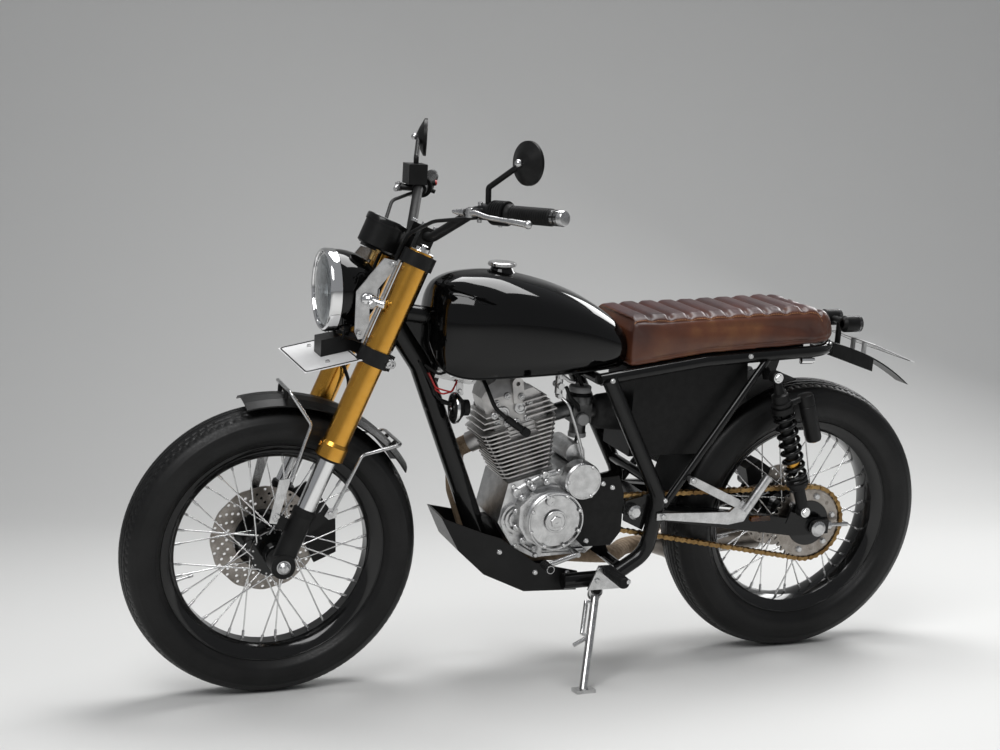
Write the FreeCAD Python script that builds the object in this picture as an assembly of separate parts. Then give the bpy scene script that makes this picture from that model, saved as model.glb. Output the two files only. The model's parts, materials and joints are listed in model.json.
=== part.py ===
"""A cafe racer motorcycle that leans on its side stand.

Everything is drawn upright, with +X to the rear, +Y to the rider's right and
+Z up, and is leaned over to the left and set on the floor at the end.
"""
import FreeCAD, Part
import math
import os
from FreeCAD import Vector as V

# Stance
WHEELBASE = 1300.0
LEAN = 10.0
CROWN_R = 55.0
SEAT_GAP = 0.3
RUN_GAP = 5.0

# Wheels
RIM_R = 238.0
RIM_DEPTH = 25.0
FRONT_TYRE_H = 86.5
FRONT_TYRE_W = 120.0
REAR_TYRE_H = 102.0
REAR_TYRE_W = 142.0
FRONT_RIM_W = 76.0
REAR_RIM_W = 92.0
SPOKES = 36
SPOKE_D = 3.4
FRONT_HUB_R = 52.0
FRONT_HUB_W = 72.0
REAR_HUB_R = 62.0
REAR_HUB_W = 84.0
FRONT_DISC_R = 120.0
REAR_DISC_R = 105.0
DISC_T = 4.5
DISC_Y = 68.0
DISC_BORE = 60.0
REAR_DISC_Y = 57.0
REAR_DISC_BORE = 40.0
FRONT_AXLE_R = 9.0
REAR_AXLE_R = 10.0

# Fork, measured along the legs from the front axle
RAKE = 22.5
FORK_OFFSET = 40.0
LEG_Y = 102.0
FOOT_TOP = 119.0
FOOT_R = 24.0
EYE_HALF = 25.5
STAY_R = 4.0
LUG_Y = 102.0
LUG_T = 6.0
STAY_FRONT = (-633.0, 688.0)
STAY_REAR = (-384.0, 566.0)
STANCHION_R = 20.5
GOLD_FOOT = 249.0
GOLD_R = 27.5
GOLD_COLLAR = 28.0
LOWER_CLAMP = 465.0
LOWER_CLAMP_T = 34.0
UPPER_CLAMP = 690.0
UPPER_CLAMP_T = 30.0
STEM_R = 14.0
HEAD_R = 29.0

# Frame tubes
POST_Y = 114.0
POST_R = 18.0
RAIL_Y = 105.0
RAIL_R = 14.0
SPINE_R = 20.0
DOWN_R = 24.0
PIVOT_X = 168.0
PIVOT_Z = 400.0
PIVOT_R = 10.0
PIVOT_PLATE_Y = 96.0
ARM_Y_FRONT = 80.0
ARM_Y_REAR = 112.0
ARM_T = 22.0
ARM_H = 40.0
GUARD_ROOM = 18.0

# Engine, with the cylinder leaning forward
CRANK_X = -50.0
CRANK_Z = 402.0
CYL_TILT = 15.0
CASE_W = 150.0
CASE_TOP = [(-12.0, 501.0), (58.0, 506.0)]
STARTER_R = 23.5
FIN_T = 3.2
FIN_PITCH = 10.0
CYL_FINS = 6
HEAD_FINS = 6
CYL_FOOT = 86.1
HEAD_TOP = 316.0
COVER_Y = 46.0
PLUG_UP = 193.0
PLUG_Y = 64.0
DRUM = (-32.5, 392.0)
DRUM_R = 69.0
LID = (36.0, 477.0)
LID_R = 43.5
CARB_X = 60.0
FILTER_X = 96.0

# Final drive
PITCH = 15.875
REAR_TEETH = 36
FRONT_TEETH = 14
DRIVE_X = 95.0
DRIVE_Z = 397.0
CHAIN_Y = -86.0
CHAIN_W = 15.0
CHAIN_H = 14.0
SPROCKET_T = 6.0
TOOTH = 4.0
CARRIER_R = 56.0
CARRIER_END = -91.0

# Tank and seat
TANK_W = 264.0
TANK_REAR = 128.0
CAP_X = -151.0
CAP_Z = 936.0
CAP_NECK_R = 22.0
SEAT_W = 226.0
SEAT_PAN_T = 14.0
HOOP_END = 680.0

# Controls
PEG_PLATE_Y = 166.0
PEG_R = 12.0
PEG_L = 85.0
BAR_R = 11.0
BAR_UP = 758.0
BAR_BACK = 18.0
PERCH_R = 17.0
LEVER_R = 5.5
RESERVOIR_H = 46.0
GRIP_R = 16.5
GRIP_L = 118.0
MIRROR_R = 44.0
MIRROR_TURN = 19.0
SPEEDO_R = 46.0
LAMP_R = 89.0
LAMP_X = -555.0
LAMP_Z = 896.0
LAMP_STUD = (-478.0, 884.0)
LAMP_ROD_R = 4.0
LAMP_ROD = (-33.0, 93.0)
CABLE_R = 4.0

# Trim
PIPE_R = 21.0
SILENCER_R = 42.0
SKID_Y = 92.0
SKID_T = 3.0
FENDER_FRONT = 102.5
FENDER_REAR = 32.0

# Rear shocks
SHOCK_Y = 141.0
SHOCK_PIN_R = 8.0
SPRING_COILS = 9
SPRING_PITCH = 20.0
SHOCK_TOP = (489.0, 717.0)
SHOCK_FOOT = (600.0, 48.0 + RIM_R + REAR_TYRE_H)
SPRING_R = 27.0

# Side stand
STAND_PIVOT = V(68.0, -150.0, 226.0)
STAND_FOOT = V(-7.0, -282.0, 52.0)
STAND_FOLDED = V(0.985, -0.02, 0.17)
STAND_R = 9.5
STAND_EYE = 20.0
STAND_PIN_R = 6.0

FRONT_TYRE_R = RIM_R + FRONT_TYRE_H
REAR_TYRE_R = RIM_R + REAR_TYRE_H
RIM_WELL = RIM_R - RIM_DEPTH
FRONT_X = -WHEELBASE / 2
REAR_X = WHEELBASE / 2
FRONT_AXLE = V(FRONT_X, 0, FRONT_TYRE_R)
REAR_AXLE = V(REAR_X, 0, REAR_TYRE_R)
GUARD_R = REAR_TYRE_R + GUARD_ROOM
DRIVE_R = PITCH / (2 * math.sin(math.pi / FRONT_TEETH))
DRIVEN_R = PITCH / (2 * math.sin(math.pi / REAR_TEETH))
RAIL_LINE = [(60.0, 711.0), (320.0, 750.0), (660.0, 774.0)]
SPINE_ROUTE = [(-392, 0, 850), (-150, 0, 812), (64, 0, 713)]
CROSS_TUBES = [(60, 711, RAIL_Y, 12), (440, 756, RAIL_Y, 10), (207, 470, POST_Y, 12),
               (135, 274, POST_Y, 11)]
SIDES = (-1, 1)


def rad(angle):
    return math.radians(angle)


def face_on(to3d, points):
    """Closed face; a point of four numbers is an arc through its first pair."""
    edges = []
    here = to3d(*points[0][-2:])
    for point in list(points[1:]) + [points[0]]:
        there = to3d(*point[-2:])
        if len(point) == 4:
            edges.append(Part.Arc(here, to3d(*point[:2]), there).toShape())
        elif (there - here).Length > 1e-6:
            edges.append(Part.makeLine(here, there))
        here = there
    return Part.Face(Part.Wire(edges))


def plate(points, y0, y1):
    """Side-view outline in x and z, as thick as from y0 to y1."""
    face = face_on(lambda x, z: V(x, y0, z), points)
    return face.extrude(V(0, y1 - y0, 0))


def slab(points, z0, z1):
    """Plan outline in x and y, as thick as from z0 to z1."""
    face = face_on(lambda x, y: V(x, y, z0), points)
    return face.extrude(V(0, 0, z1 - z0))


def rod(start, end, radius):
    way = end - start
    return Part.makeCylinder(radius, way.Length, start, way)


def lathe(points, centre, axis, angle=360.0):
    """Turned piece; points are (along the axis, radius)."""
    axis = V(axis).normalize()
    helper = V(0, 0, 1) if abs(axis.z) < 0.9 else V(1, 0, 0)
    out = axis.cross(helper).normalize()
    face = face_on(lambda a, r: centre + axis * a + out * r, points)
    return face.revolve(centre, axis, angle)


def bent(points, bend):
    """Wire of straight runs joined by tangent arcs of the bend radius."""
    points = [V(*p) for p in points]
    edges = []
    here = points[0]
    for before, corner, after in zip(points, points[1:], points[2:]):
        way_in = (before - corner).normalize()
        way_out = (after - corner).normalize()
        half = way_in.getAngle(way_out) / 2
        room = 0.48 * min((before - corner).Length, (after - corner).Length)
        back = min(bend / math.tan(half), room)
        radius = back * math.tan(half)
        first = corner + way_in * back
        last = corner + way_out * back
        middle = (way_in + way_out).normalize()
        top = corner + middle * (radius / math.sin(half) - radius)
        if (first - here).Length > 1e-4:
            edges.append(Part.makeLine(here, first))
        edges.append(Part.Arc(first, top, last).toShape())
        here = last
    edges.append(Part.makeLine(here, points[-1]))
    return Part.Wire(edges)


def tube(points, radius, bend=40.0):
    if len(points) == 2:
        return rod(V(*points[0]), V(*points[1]), radius)
    path = bent(points, bend)
    start = V(*points[0])
    ring = Part.Wire(Part.makeCircle(radius, start, V(*points[1]) - start))
    return path.makePipeShell([ring], True, False)


def fuse(shapes):
    joined = shapes[0].multiFuse(shapes[1:])
    clean = joined.removeSplitter()
    return clean if clean.isValid() else joined


def cut_clear(shape, other, shift):
    """Cut a neighbour away, and the same again moved by the seating gap."""
    moved = other.copy()
    moved.translate(shift)
    return shape.cut(other).cut(moved)


def mirrored(shape):
    return shape.mirror(V(0, 0, 0), V(0, 1, 0))


def both(shape):
    return Part.makeCompound([shape, mirrored(shape)])


def on_fork(shape):
    """From leg coordinates (back, right, up the leg) to the upright bike."""
    moved = shape.copy()
    moved.rotate(V(0, 0, 0), V(0, 1, 0), RAKE)
    moved.translate(FRONT_AXLE)
    return moved


def on_cylinder(shape):
    """From the leaning cylinder's coordinates to the upright bike."""
    moved = shape.copy()
    moved.rotate(V(0, 0, 0), V(0, 1, 0), -CYL_TILT)
    moved.translate(V(CRANK_X, 0, CRANK_Z))
    return moved


# Wheels

def tyre(axle, outer, width, rim_w):
    """Round crown in bands, one edge where the leaning tyre meets the floor."""
    height = outer - RIM_R
    half = width / 2
    crown = [(CROWN_R * math.sin(rad(turn)), outer - CROWN_R * (1 - math.cos(rad(turn))))
             for turn in (LEAN, 18)]
    wall = [(0.70 * half, outer - 0.12 * height), (0.95 * half, outer - 0.34 * height),
            (half, outer - 0.60 * height), (rim_w / 2, RIM_R + SEAT_GAP)]
    right = crown + wall
    left = [(-y, r) for y, r in right]
    return lathe([(0, outer)] + right + left[::-1], axle, V(0, 1, 0))


def rim(axle, rim_w):
    half = rim_w / 2
    points = [(-half, RIM_R), (half, RIM_R), (half - 5, RIM_WELL + 9), (14, RIM_WELL),
              (-14, RIM_WELL), (-half + 5, RIM_WELL + 9)]
    return lathe(points, axle, V(0, 1, 0))


def spoke(axle, hub_r, hub_y, rim_y, hub_angle, rim_angle):
    start = V(hub_r * math.cos(hub_angle), hub_y, hub_r * math.sin(hub_angle))
    reach = RIM_WELL + 3
    end = V(reach * math.cos(rim_angle), rim_y, reach * math.sin(rim_angle))
    way = end - start
    bar = Part.makeBox(SPOKE_D, SPOKE_D, way.Length, V(-SPOKE_D / 2, -SPOKE_D / 2, 0))
    bar.Placement = FreeCAD.Placement(start + axle, FreeCAD.Rotation(V(0, 0, 1), way))
    return bar


def spokes(axle, hub_r, hub_w):
    """Laced spokes, crossing in pairs on each side of the hub."""
    bars = []
    pairs = SPOKES // 4
    for side in SIDES:
        for pair in range(pairs):
            base = 2 * math.pi * (pair + 0.125 * side) / pairs
            for lean in SIDES:
                hub_angle = base + lean * rad(30)
                rim_angle = base - lean * rad(10)
                hub_y = side * (hub_w / 2 - 4 + 3.5 * lean)
                rim_y = side * (7 + 3 * lean)
                bars.append(spoke(axle, hub_r - 4, hub_y, rim_y, hub_angle, rim_angle))
    return bars


def hub(axle, hub_r, hub_w, bore):
    half = hub_w / 2
    barrel = hub_r * 0.62
    points = [(-half - 14, bore), (half + 14, bore), (half + 14, bore + 12), (half, bore + 16),
              (half, hub_r), (half - 8, hub_r), (half - 14, barrel), (-half + 14, barrel),
              (-half + 8, hub_r), (-half, hub_r), (-half, bore + 16), (-half - 14, bore + 12)]
    return lathe(points, axle, V(0, 1, 0))


def disc_carrier(axle, hub_w, disc_y, bore):
    """Cone from the hub out to the disc's inner edge."""
    root = hub_w / 2 - 1
    face = disc_y - SEAT_GAP
    points = [(root, 26), (root, 44), (face, bore + 8), (face, bore - 4)]
    return lathe(points, axle, V(0, 1, 0))


def wire_wheel(axle, rim_w, hub_r, hub_w, bore):
    """Rim, laced spokes and hub, joined as one."""
    body = hub(axle, hub_r, hub_w, bore)
    return body.multiFuse(spokes(axle, hub_r, hub_w) + [rim(axle, rim_w)])


def front_wire_wheel():
    wheel = wire_wheel(FRONT_AXLE, FRONT_RIM_W, FRONT_HUB_R, FRONT_HUB_W, FRONT_AXLE_R + 1)
    return wheel.fuse(disc_carrier(FRONT_AXLE, FRONT_HUB_W, DISC_Y, DISC_BORE))


def brake_disc(axle, radius, inner, y):
    return lathe([(y, inner), (y, radius), (y + DISC_T, radius), (y + DISC_T, inner)],
                 axle, V(0, 1, 0))


# Fork and steering, in leg coordinates

def leg_point(side, along):
    return V(0, side * LEG_Y, along)


def ring_clamp(low, thick, radius, bar_half):
    """Two ring ends round the legs, joined by a bridge to the stem."""
    parts = [Part.makeCylinder(radius, thick, leg_point(side, low)) for side in SIDES]
    bridge = [(-bar_half, -LEG_Y), (-bar_half + 16, 0), (-bar_half, LEG_Y), (22, LEG_Y),
              (FORK_OFFSET + 22, 20), (FORK_OFFSET + 22, -20), (22, -LEG_Y)]
    parts.append(slab(bridge, low, low + thick))
    body = fuse(parts)
    for side in SIDES:
        body = body.cut(Part.makeCylinder(GOLD_R + SEAT_GAP, thick + 2, leg_point(side, low - 1)))
    return body


def board_top(x):
    """Height of the front plate's upper side."""
    return 743.0 + (x + 619.0) * 26.0 / 121.0


def lower_clamp():
    """Clamp with pinch lugs behind, and the plate's bracket in front."""
    ring = ring_clamp(LOWER_CLAMP, LOWER_CLAMP_T, GOLD_R + 8, 20)
    lugs = [Part.makeCylinder(11, LOWER_CLAMP_T, V(32, side * LEG_Y, LOWER_CLAMP)) for side in SIDES]
    room = [Part.makeCylinder(GOLD_R + SEAT_GAP, LOWER_CLAMP_T, leg_point(side, LOWER_CLAMP))
            for side in SIDES]
    body = fuse([ring] + lugs)
    for hole in room:
        body = body.cut(hole)
    rise = 2 * SEAT_GAP
    bracket = plate([(-562, board_top(-562) + rise), (-502, board_top(-502) + rise), (-468, 762),
                     (-462, 780), (-520, 800), (-562, 792)], -30, 30)
    return fuse([on_fork(body), bracket])


def fork_clamps():
    upper = ring_clamp(UPPER_CLAMP, UPPER_CLAMP_T, GOLD_R + 9, 20)
    stem_foot = LOWER_CLAMP + LOWER_CLAMP_T - 5
    stem = Part.makeCylinder(STEM_R, UPPER_CLAMP + 5 - stem_foot, V(FORK_OFFSET, 0, stem_foot))
    nut = Part.makeCylinder(15, 10, V(FORK_OFFSET, 0, UPPER_CLAMP + UPPER_CLAMP_T))
    return fuse([lower_clamp(), on_fork(fuse([upper, stem, nut])), bar_clamps()])


def gold_tubes():
    top = UPPER_CLAMP + UPPER_CLAMP_T + 4
    points = [(GOLD_FOOT, STANCHION_R + SEAT_GAP), (GOLD_FOOT, GOLD_R + 4),
              (GOLD_FOOT + GOLD_COLLAR, GOLD_R + 4), (GOLD_FOOT + GOLD_COLLAR + 8, GOLD_R),
              (top, GOLD_R), (top, 0), (GOLD_FOOT + 60, 0),
              (GOLD_FOOT + 60, STANCHION_R + SEAT_GAP)]
    tubes = [lathe(points, V(0, side * LEG_Y, 0), V(0, 0, 1)) for side in SIDES]
    return on_fork(Part.makeCompound(tubes))


def stanchions():
    top = GOLD_FOOT + 60 - SEAT_GAP
    tubes = [rod(leg_point(side, FOOT_TOP), leg_point(side, top), STANCHION_R) for side in SIDES]
    return on_fork(Part.makeCompound(tubes))


def fork_feet():
    """Cast lower legs with the axle eye, and lugs for the fender stays."""
    feet = []
    for side in SIDES:
        leg = rod(leg_point(side, 0), leg_point(side, FOOT_TOP), FOOT_R)
        eye = rod(V(0, side * (LEG_Y - EYE_HALF), 0), V(0, side * (LEG_Y + EYE_HALF), 0), FOOT_R + 2)
        face = side * LUG_Y
        front = plate([(-62, 76), (-64, 100), (-12, 94), (-12, 66)], face, face - side * LUG_T)
        rear = plate([(12, 60), (12, 104), (46, 146), (60, 140), (58, 126), (34, 84)],
                     face, face - side * LUG_T)
        body = fuse([leg, eye, front, rear])
        bore = rod(V(0, side * 60, 0), V(0, side * 140, 0), FRONT_AXLE_R + SEAT_GAP)
        feet.append(body.cut(bore))
    return on_fork(Part.makeCompound(feet))


def front_axle():
    half = LEG_Y + EYE_HALF
    pin = rod(V(0, -half - 2, 0), V(0, half + 2, 0), FRONT_AXLE_R)
    nuts = []
    for side in SIDES:
        face = side * (half + SEAT_GAP)
        nuts.append(lathe([(face, 0), (face, 13), (face + side * 9, 13), (face + side * 14, 8),
                           (face + side * 16, 0)], V(0, 0, 0), V(0, 1, 0)))
    spacers = []
    for side in SIDES:
        inner = side * (FRONT_HUB_W / 2 + 14 + 1)
        outer = side * (LEG_Y - EYE_HALF - SEAT_GAP)
        spacers.append(rod(V(0, inner, 0), V(0, outer, 0), 14))
    return on_fork(fuse([pin] + nuts + spacers))


def front_fender():
    """Crowned strip over the tyre, with studs up to the stays."""
    inner = FRONT_TYRE_R + 22
    half = 58.0
    drop = 16.0
    shape = [(half, drop), (0.62 * half, 0.38 * drop), (0.22 * half, 0.04 * drop)]
    under = [(-y, inner - fall) for y, fall in shape] + [(y, inner - fall) for y, fall in shape[::-1]]
    over = [(y, r + 3) for y, r in under[::-1]]
    strip = lathe(under + over, FRONT_AXLE, V(0, 1, 0), FENDER_FRONT - FENDER_REAR)
    strip.rotate(FRONT_AXLE, V(0, 1, 0), -FENDER_FRONT)
    studs = []
    for x, z in (STAY_FRONT, STAY_REAR):
        out = V(x, 0, z) - FRONT_AXLE
        top = out.Length - STAY_R - SEAT_GAP
        out.normalize()
        for side in SIDES:
            foot = FRONT_AXLE + out * (inner - 5) + V(0, side * 30, 0)
            studs.append(rod(foot, FRONT_AXLE + out * top + V(0, side * 30, 0), 5))
    return fuse([strip] + studs)


def fender_stays():
    """Two rods that pass over the fender, down to plates on the legs' lugs."""
    y_leg = LUG_Y + SEAT_GAP + 2
    front_top, rear_top = STAY_FRONT, STAY_REAR
    front = [(-636, y_leg, 505), (-590, 84, 622), (front_top[0], 66, front_top[1])]
    rear = [(-542, y_leg, 434), (-478, 88, 552), (rear_top[0], 66, rear_top[1])]
    shapes = []
    for half_hoop in (front, rear):
        other = [(x, -y, z) for x, y, z in half_hoop[::-1]]
        shapes.append(tube(half_hoop + other, STAY_R, 16))
    for side in SIDES:
        face = side * (LUG_Y + SEAT_GAP)
        tongue = plate([(-62, 74), (-80, 168), (-58, 180), (-46, 78)], face, face + side * 4)
        ring = plate([(44, 128), (46, 146), (66, 152), (70, 134), (56, 124)], face, face + side * 4)
        shapes += [on_fork(tongue), on_fork(ring)]
    return fuse(shapes)


def headlamp():
    """Rim and bowl, with a stud on each side for the brackets."""
    centre = V(LAMP_X, 0, LAMP_Z)
    rim_ring = lathe([(0, LAMP_R - 9), (0, LAMP_R), (36, LAMP_R), (36, LAMP_R - 9)],
                     centre, V(1, 0, 0))
    bowl = lathe([(36, 0), (36, LAMP_R - 4), (66, 0.90 * LAMP_R), (92, 0.73 * LAMP_R),
                  (112, 0.45 * LAMP_R), (121, 0.16 * LAMP_R), (122, 0)], centre, V(1, 0, 0))
    stud = rod(V(LAMP_STUD[0], -LAMP_R, LAMP_STUD[1]), V(LAMP_STUD[0], LAMP_R, LAMP_STUD[1]), 6)
    return fuse([rim_ring, bowl, stud])


def headlamp_lens():
    radius = LAMP_R - 9 - SEAT_GAP
    return lathe([(36 - SEAT_GAP, 0), (36 - SEAT_GAP, radius), (4, radius), (-5, 0.66 * radius),
                  (-9, 0.30 * radius), (-10, 0)], V(LAMP_X, 0, LAMP_Z), V(1, 0, 0))


def headlamp_brackets():
    """K-shaped plates on rods between the two clamps."""
    y0 = LAMP_R + SEAT_GAP
    outline = [(-450, 978), (-415, 970), (-424, 948), (-436, 944), (-462, 912), (-462, 892),
               (-478, 872), (-476, 830), (-480, 808), (-500, 806), (-508, 822), (-508, 908),
               (-496, 922)]
    blade = plate(outline, y0, y0 + 4)
    back, out = LAMP_ROD
    low = V(back, out, LOWER_CLAMP + LOWER_CLAMP_T + SEAT_GAP)
    stay = on_fork(rod(low, V(back, out, UPPER_CLAMP - SEAT_GAP), LAMP_ROD_R))
    boss = rod(V(LAMP_STUD[0], y0, LAMP_STUD[1]), V(LAMP_STUD[0], y0 + 20, LAMP_STUD[1]), 10)
    pins = [rod(V(x, y0, z), V(x, y0 + 8, z), 6) for x, z in ((-434, 965), (-500, 820))]
    return both(fuse([blade, stay, boss] + pins))


def front_plate():
    """Flat plate under the lower clamp's bracket, notched round the clamp."""
    board = plate([(-618, board_top(-618) - 2), (-497, board_top(-497) - 2), (-498, board_top(-498)),
                   (-619, board_top(-619))], -125, 125)
    step = on_fork(Part.Vertex(V(-1.5 * SEAT_GAP, 0, 0))).Point - FRONT_AXLE
    return cut_clear(board, lower_clamp(), step)


def speedometer():
    """Round gauge on a strip that passes under the upper clamp."""
    low = UPPER_CLAMP
    body = lathe([(low, 0), (low, SPEEDO_R - 8), (low + 4, SPEEDO_R - 2), (low + 52, SPEEDO_R - 2),
                  (low + 52, SPEEDO_R), (low + 60, SPEEDO_R), (low + 60, SPEEDO_R - 5),
                  (low + 56, SPEEDO_R - 7), (low + 56, 0)], V(-62, 0, 0), V(0, 0, 1))
    strip = slab([(-92, -18), (6, -18), (6, 18), (-92, 18)], low - 5, low - SEAT_GAP)
    neck = Part.makeCylinder(20, 6, V(-62, 0, low - 5))
    return on_fork(fuse([body, strip, neck]))


def bar_route():
    """Bar from end to end, straight through its clamps."""
    middle = on_fork(Part.Vertex(V(BAR_BACK, 0, BAR_UP))).Point
    half = [(middle.x, 70, middle.z), (-292, 195, 1092), (-200, 385, 1104)]
    return [(x, -y, z) for x, y, z in half[::-1]] + half


def handlebar():
    """Bent bar with its end weights."""
    weights = []
    for side in SIDES:
        end, way = bar_end(side)
        weights.append(lathe([(0, 0), (0, 16), (20, 16), (28, 12), (32, 0)], end, way))
    return fuse([tube(bar_route(), BAR_R, 48)] + weights)


def bar_clamps():
    """Risers on the upper clamp, bored for the bar."""
    low = UPPER_CLAMP + UPPER_CLAMP_T
    blocks = []
    for side in SIDES:
        y = side * 34
        blocks.append(Part.makeBox(36, 24, BAR_UP + 19 - low, V(BAR_BACK - 18, y - 12, low)))
    bore = rod(V(BAR_BACK, -80, BAR_UP), V(BAR_BACK, 80, BAR_UP), BAR_R + SEAT_GAP)
    return on_fork(Part.makeCompound(blocks).cut(bore))


def bar_end(side):
    """Outer end of the bar and the way it points."""
    route = bar_route()
    end = V(*route[-1])
    way = (end - V(*route[-2])).normalize()
    if side < 0:
        end.y = -end.y
        way.y = -way.y
    return end, way


def lever_pivot(side):
    """Where the hand lever turns, ahead of the bar."""
    end, way = bar_end(side)
    ahead = V(-abs(way.y), side * way.x, 0).normalize()
    return end - way * (GRIP_L + 62), ahead * 44


def grips():
    sleeves = []
    for side in SIDES:
        end, way = bar_end(side)
        start = end - way * GRIP_L
        sleeve = rod(start, end - way * SEAT_GAP, GRIP_R)
        sleeves.append(sleeve.cut(rod(start - way, end, BAR_R + SEAT_GAP)))
    return Part.makeCompound(sleeves)


def switchgear():
    """Switch housings, perches with their lever lugs, and the brake's reservoir."""
    boxes = []
    for side in SIDES:
        end, way = bar_end(side)
        inner = end - way * (GRIP_L + 42)
        outer = end - way * (GRIP_L + 2)
        case = rod(inner, outer, 24)
        perch = rod(inner - way * 34, inner + way * 2, PERCH_R)
        on_bar, ahead = lever_pivot(side)
        lug = rod(on_bar, on_bar + ahead, 8)
        parts = [case, perch, lug]
        if side > 0:
            spot = on_bar + V(-36, -27, 10)
            parts.append(Part.makeBox(44, 50, RESERVOIR_H, spot))
        box = fuse(parts)
        boxes.append(box.cut(rod(inner - way * 50, outer + way * 5, BAR_R + SEAT_GAP)))
    return Part.makeCompound(boxes)


def levers():
    """Hand levers, seated on the ends of the perch lugs."""
    bars = []
    for side in SIDES:
        end, way = bar_end(side)
        on_bar, ahead = lever_pivot(side)
        root = on_bar + ahead + V(ahead).normalize() * (LEVER_R + SEAT_GAP)
        mid = root + way * 60 + V(-6, 0, -6)
        tip = root + way * 150 + V(10, 0, -14)
        bar = tube([tuple(root - way * 10), tuple(mid), tuple(tip)], LEVER_R, 60)
        bars.append(fuse([bar, Part.makeSphere(8.5, tip)]))
    return Part.makeCompound(bars)


def mirrors():
    """Round heads turned in towards the rider, on stems from perch and reservoir."""
    glasses = []
    for side in SIDES:
        end, way = bar_end(side)
        on_bar, ahead = lever_pivot(side)
        up = V(-way.x * way.z, -way.y * way.z, 1 - way.z * way.z).normalize()
        face = V(math.cos(rad(MIRROR_TURN)), -side * math.sin(rad(MIRROR_TURN)), 0)
        head = V(-240, side * 330, 1203)
        if side < 0:
            root = on_bar + way * 4 + up * (PERCH_R + SEAT_GAP)
            elbow = root + up * 32
        else:
            root = on_bar + V(-12, 0, 10 + RESERVOIR_H + SEAT_GAP)
            elbow = root + V(0, 0, 14)
        stem = tube([tuple(root), tuple(elbow), tuple(head - face * 12)], 6, 8)
        cup = lathe([(-18, 0), (-18, 8), (-12, 22), (0, MIRROR_R), (5, MIRROR_R), (5, 0)], head, face)
        glasses.append(fuse([stem, cup]))
    return Part.makeCompound(glasses)


def front_brake():
    """Caliper over the disc, on an arm from the right leg."""
    body = plate([(-568, 330), (-566, 400), (-528, 420), (-494, 370), (-490, 290), (-540, 268)],
                 DISC_Y - 20, DISC_Y + DISC_T + 22)
    gap = RUN_GAP
    slot = rod(V(FRONT_X, DISC_Y - gap, FRONT_TYRE_R), V(FRONT_X, DISC_Y + DISC_T + gap, FRONT_TYRE_R),
               FRONT_DISC_R + gap)
    face = DISC_Y + DISC_T + gap
    arm = plate([(-622, 352), (-600, 398), (-560, 396), (-556, 344)], face, face + 15)
    leg = on_fork(rod(leg_point(1, -30), leg_point(1, 300), FOOT_R + SEAT_GAP))
    return fuse([body.cut(slot), arm]).cut(leg)


def control_cables():
    """Brake hose from the right perch to the caliper, and the left loom to the lamp."""
    def leg(back, y, along):
        return tuple(on_fork(Part.Vertex(V(back, y, along))).Point)

    on_bar, ahead = lever_pivot(1)
    start = on_bar + ahead * 0.5 + V(0, -10, -8 - CABLE_R)
    hose = [tuple(start), (-366, 150, 1072), (-398, 90, 1030), leg(-26, 64, 700), leg(-26, 66, 600),
            leg(-30, 50, 490), leg(-10, 60, 436), leg(34, 66, 392), leg(46, 82, 320),
            leg(46, 84, 220), leg(66, 84, 150), leg(74, 84, 116)]
    on_bar, ahead = lever_pivot(-1)
    start = on_bar + ahead * 0.5 + V(0, 10, -8 - CABLE_R)
    loom = [tuple(start), (-366, -150, 1064), (-398, -84, 1028), leg(-26, -52, 700),
            leg(-32, -48, 640), (-442, -40, 905)]
    hose = tube(hose, CABLE_R, 60)
    loom = tube(loom, CABLE_R, 60)
    return Part.makeCompound([cut_clear(hose, front_brake(), V(0, 0, SEAT_GAP)),
                              cut_clear(loom, headlamp(), V(SEAT_GAP, 0, 0))])


# Frame

def rail_route():
    front, middle, rear = RAIL_LINE
    end = HOOP_END
    return [(front[0], -RAIL_Y, front[1]), (middle[0], -RAIL_Y, middle[1]),
            (end, -RAIL_Y, rear[1]), (end, RAIL_Y, rear[1]),
            (middle[0], RAIL_Y, middle[1]), (front[0], RAIL_Y, front[1])]


def cross_tube(x, z, half, radius):
    return rod(V(x, -half, z), V(x, half, z), radius)


def head_tube():
    low = LOWER_CLAMP + LOWER_CLAMP_T + 1
    high = UPPER_CLAMP - 1
    return on_fork(Part.makeCylinder(HEAD_R, high - low, V(FORK_OFFSET, 0, low)))


def head_bore():
    low = LOWER_CLAMP + LOWER_CLAMP_T - 60
    return on_fork(Part.makeCylinder(STEM_R + 0.5, 400, V(FORK_OFFSET, 0, low)))


def lower_run(side):
    """Straight end of the post, along the floor of the bike."""
    return V(0, side * POST_Y, 244), V(118, side * POST_Y, 246)


def frame_side(side):
    """Post, brace, pivot plate and shock mount of one side."""
    y = side * POST_Y
    front, back = lower_run(side)
    post = tube([(78, y, 714), (228, y, 430), (204, y, 300), tuple(back), tuple(front)],
                POST_R, 70)
    brace = tube([(486, side * RAIL_Y, 756), (240, y, 410)], 9)
    inner = side * (PIVOT_PLATE_Y + 4)
    pivot = plate([(148, 424), (148, 376), (196, 352), (226, 440)], inner - 4, inner + 4)
    y_rail = side * RAIL_Y
    ear = plate([(464, 750), (514, 754), (500, 704), (478, 704)], y_rail - 4, y_rail + 4)
    top = V(SHOCK_TOP[0], 0, SHOCK_TOP[1])
    pin = rod(top + V(0, y_rail, 0), top + V(0, side * (SHOCK_Y + 14), 0), SHOCK_PIN_R)
    skid_boss = rod(V(22, side * (SKID_Y + SEAT_GAP), 244), V(22, y, 244), 8)
    return [post, brace, pivot, ear, pin, skid_boss]


def engine_lugs():
    """Welded lugs that meet the crankcase in front and below."""
    front = plate([(-186, 376), (-140, 376), (-108, 320), (-168, 322)], -16, 16)
    low = plate([(128, 268), (146, 278), (118, 334), (78, 303)], 36, 44)
    case = crankcase()
    front = cut_clear(front, case, V(-0.84, 0, -0.54) * SEAT_GAP)
    low = cut_clear(low, case, V(0.62, 0, -0.78) * SEAT_GAP)
    return [front, low, mirrored(low)]


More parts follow.
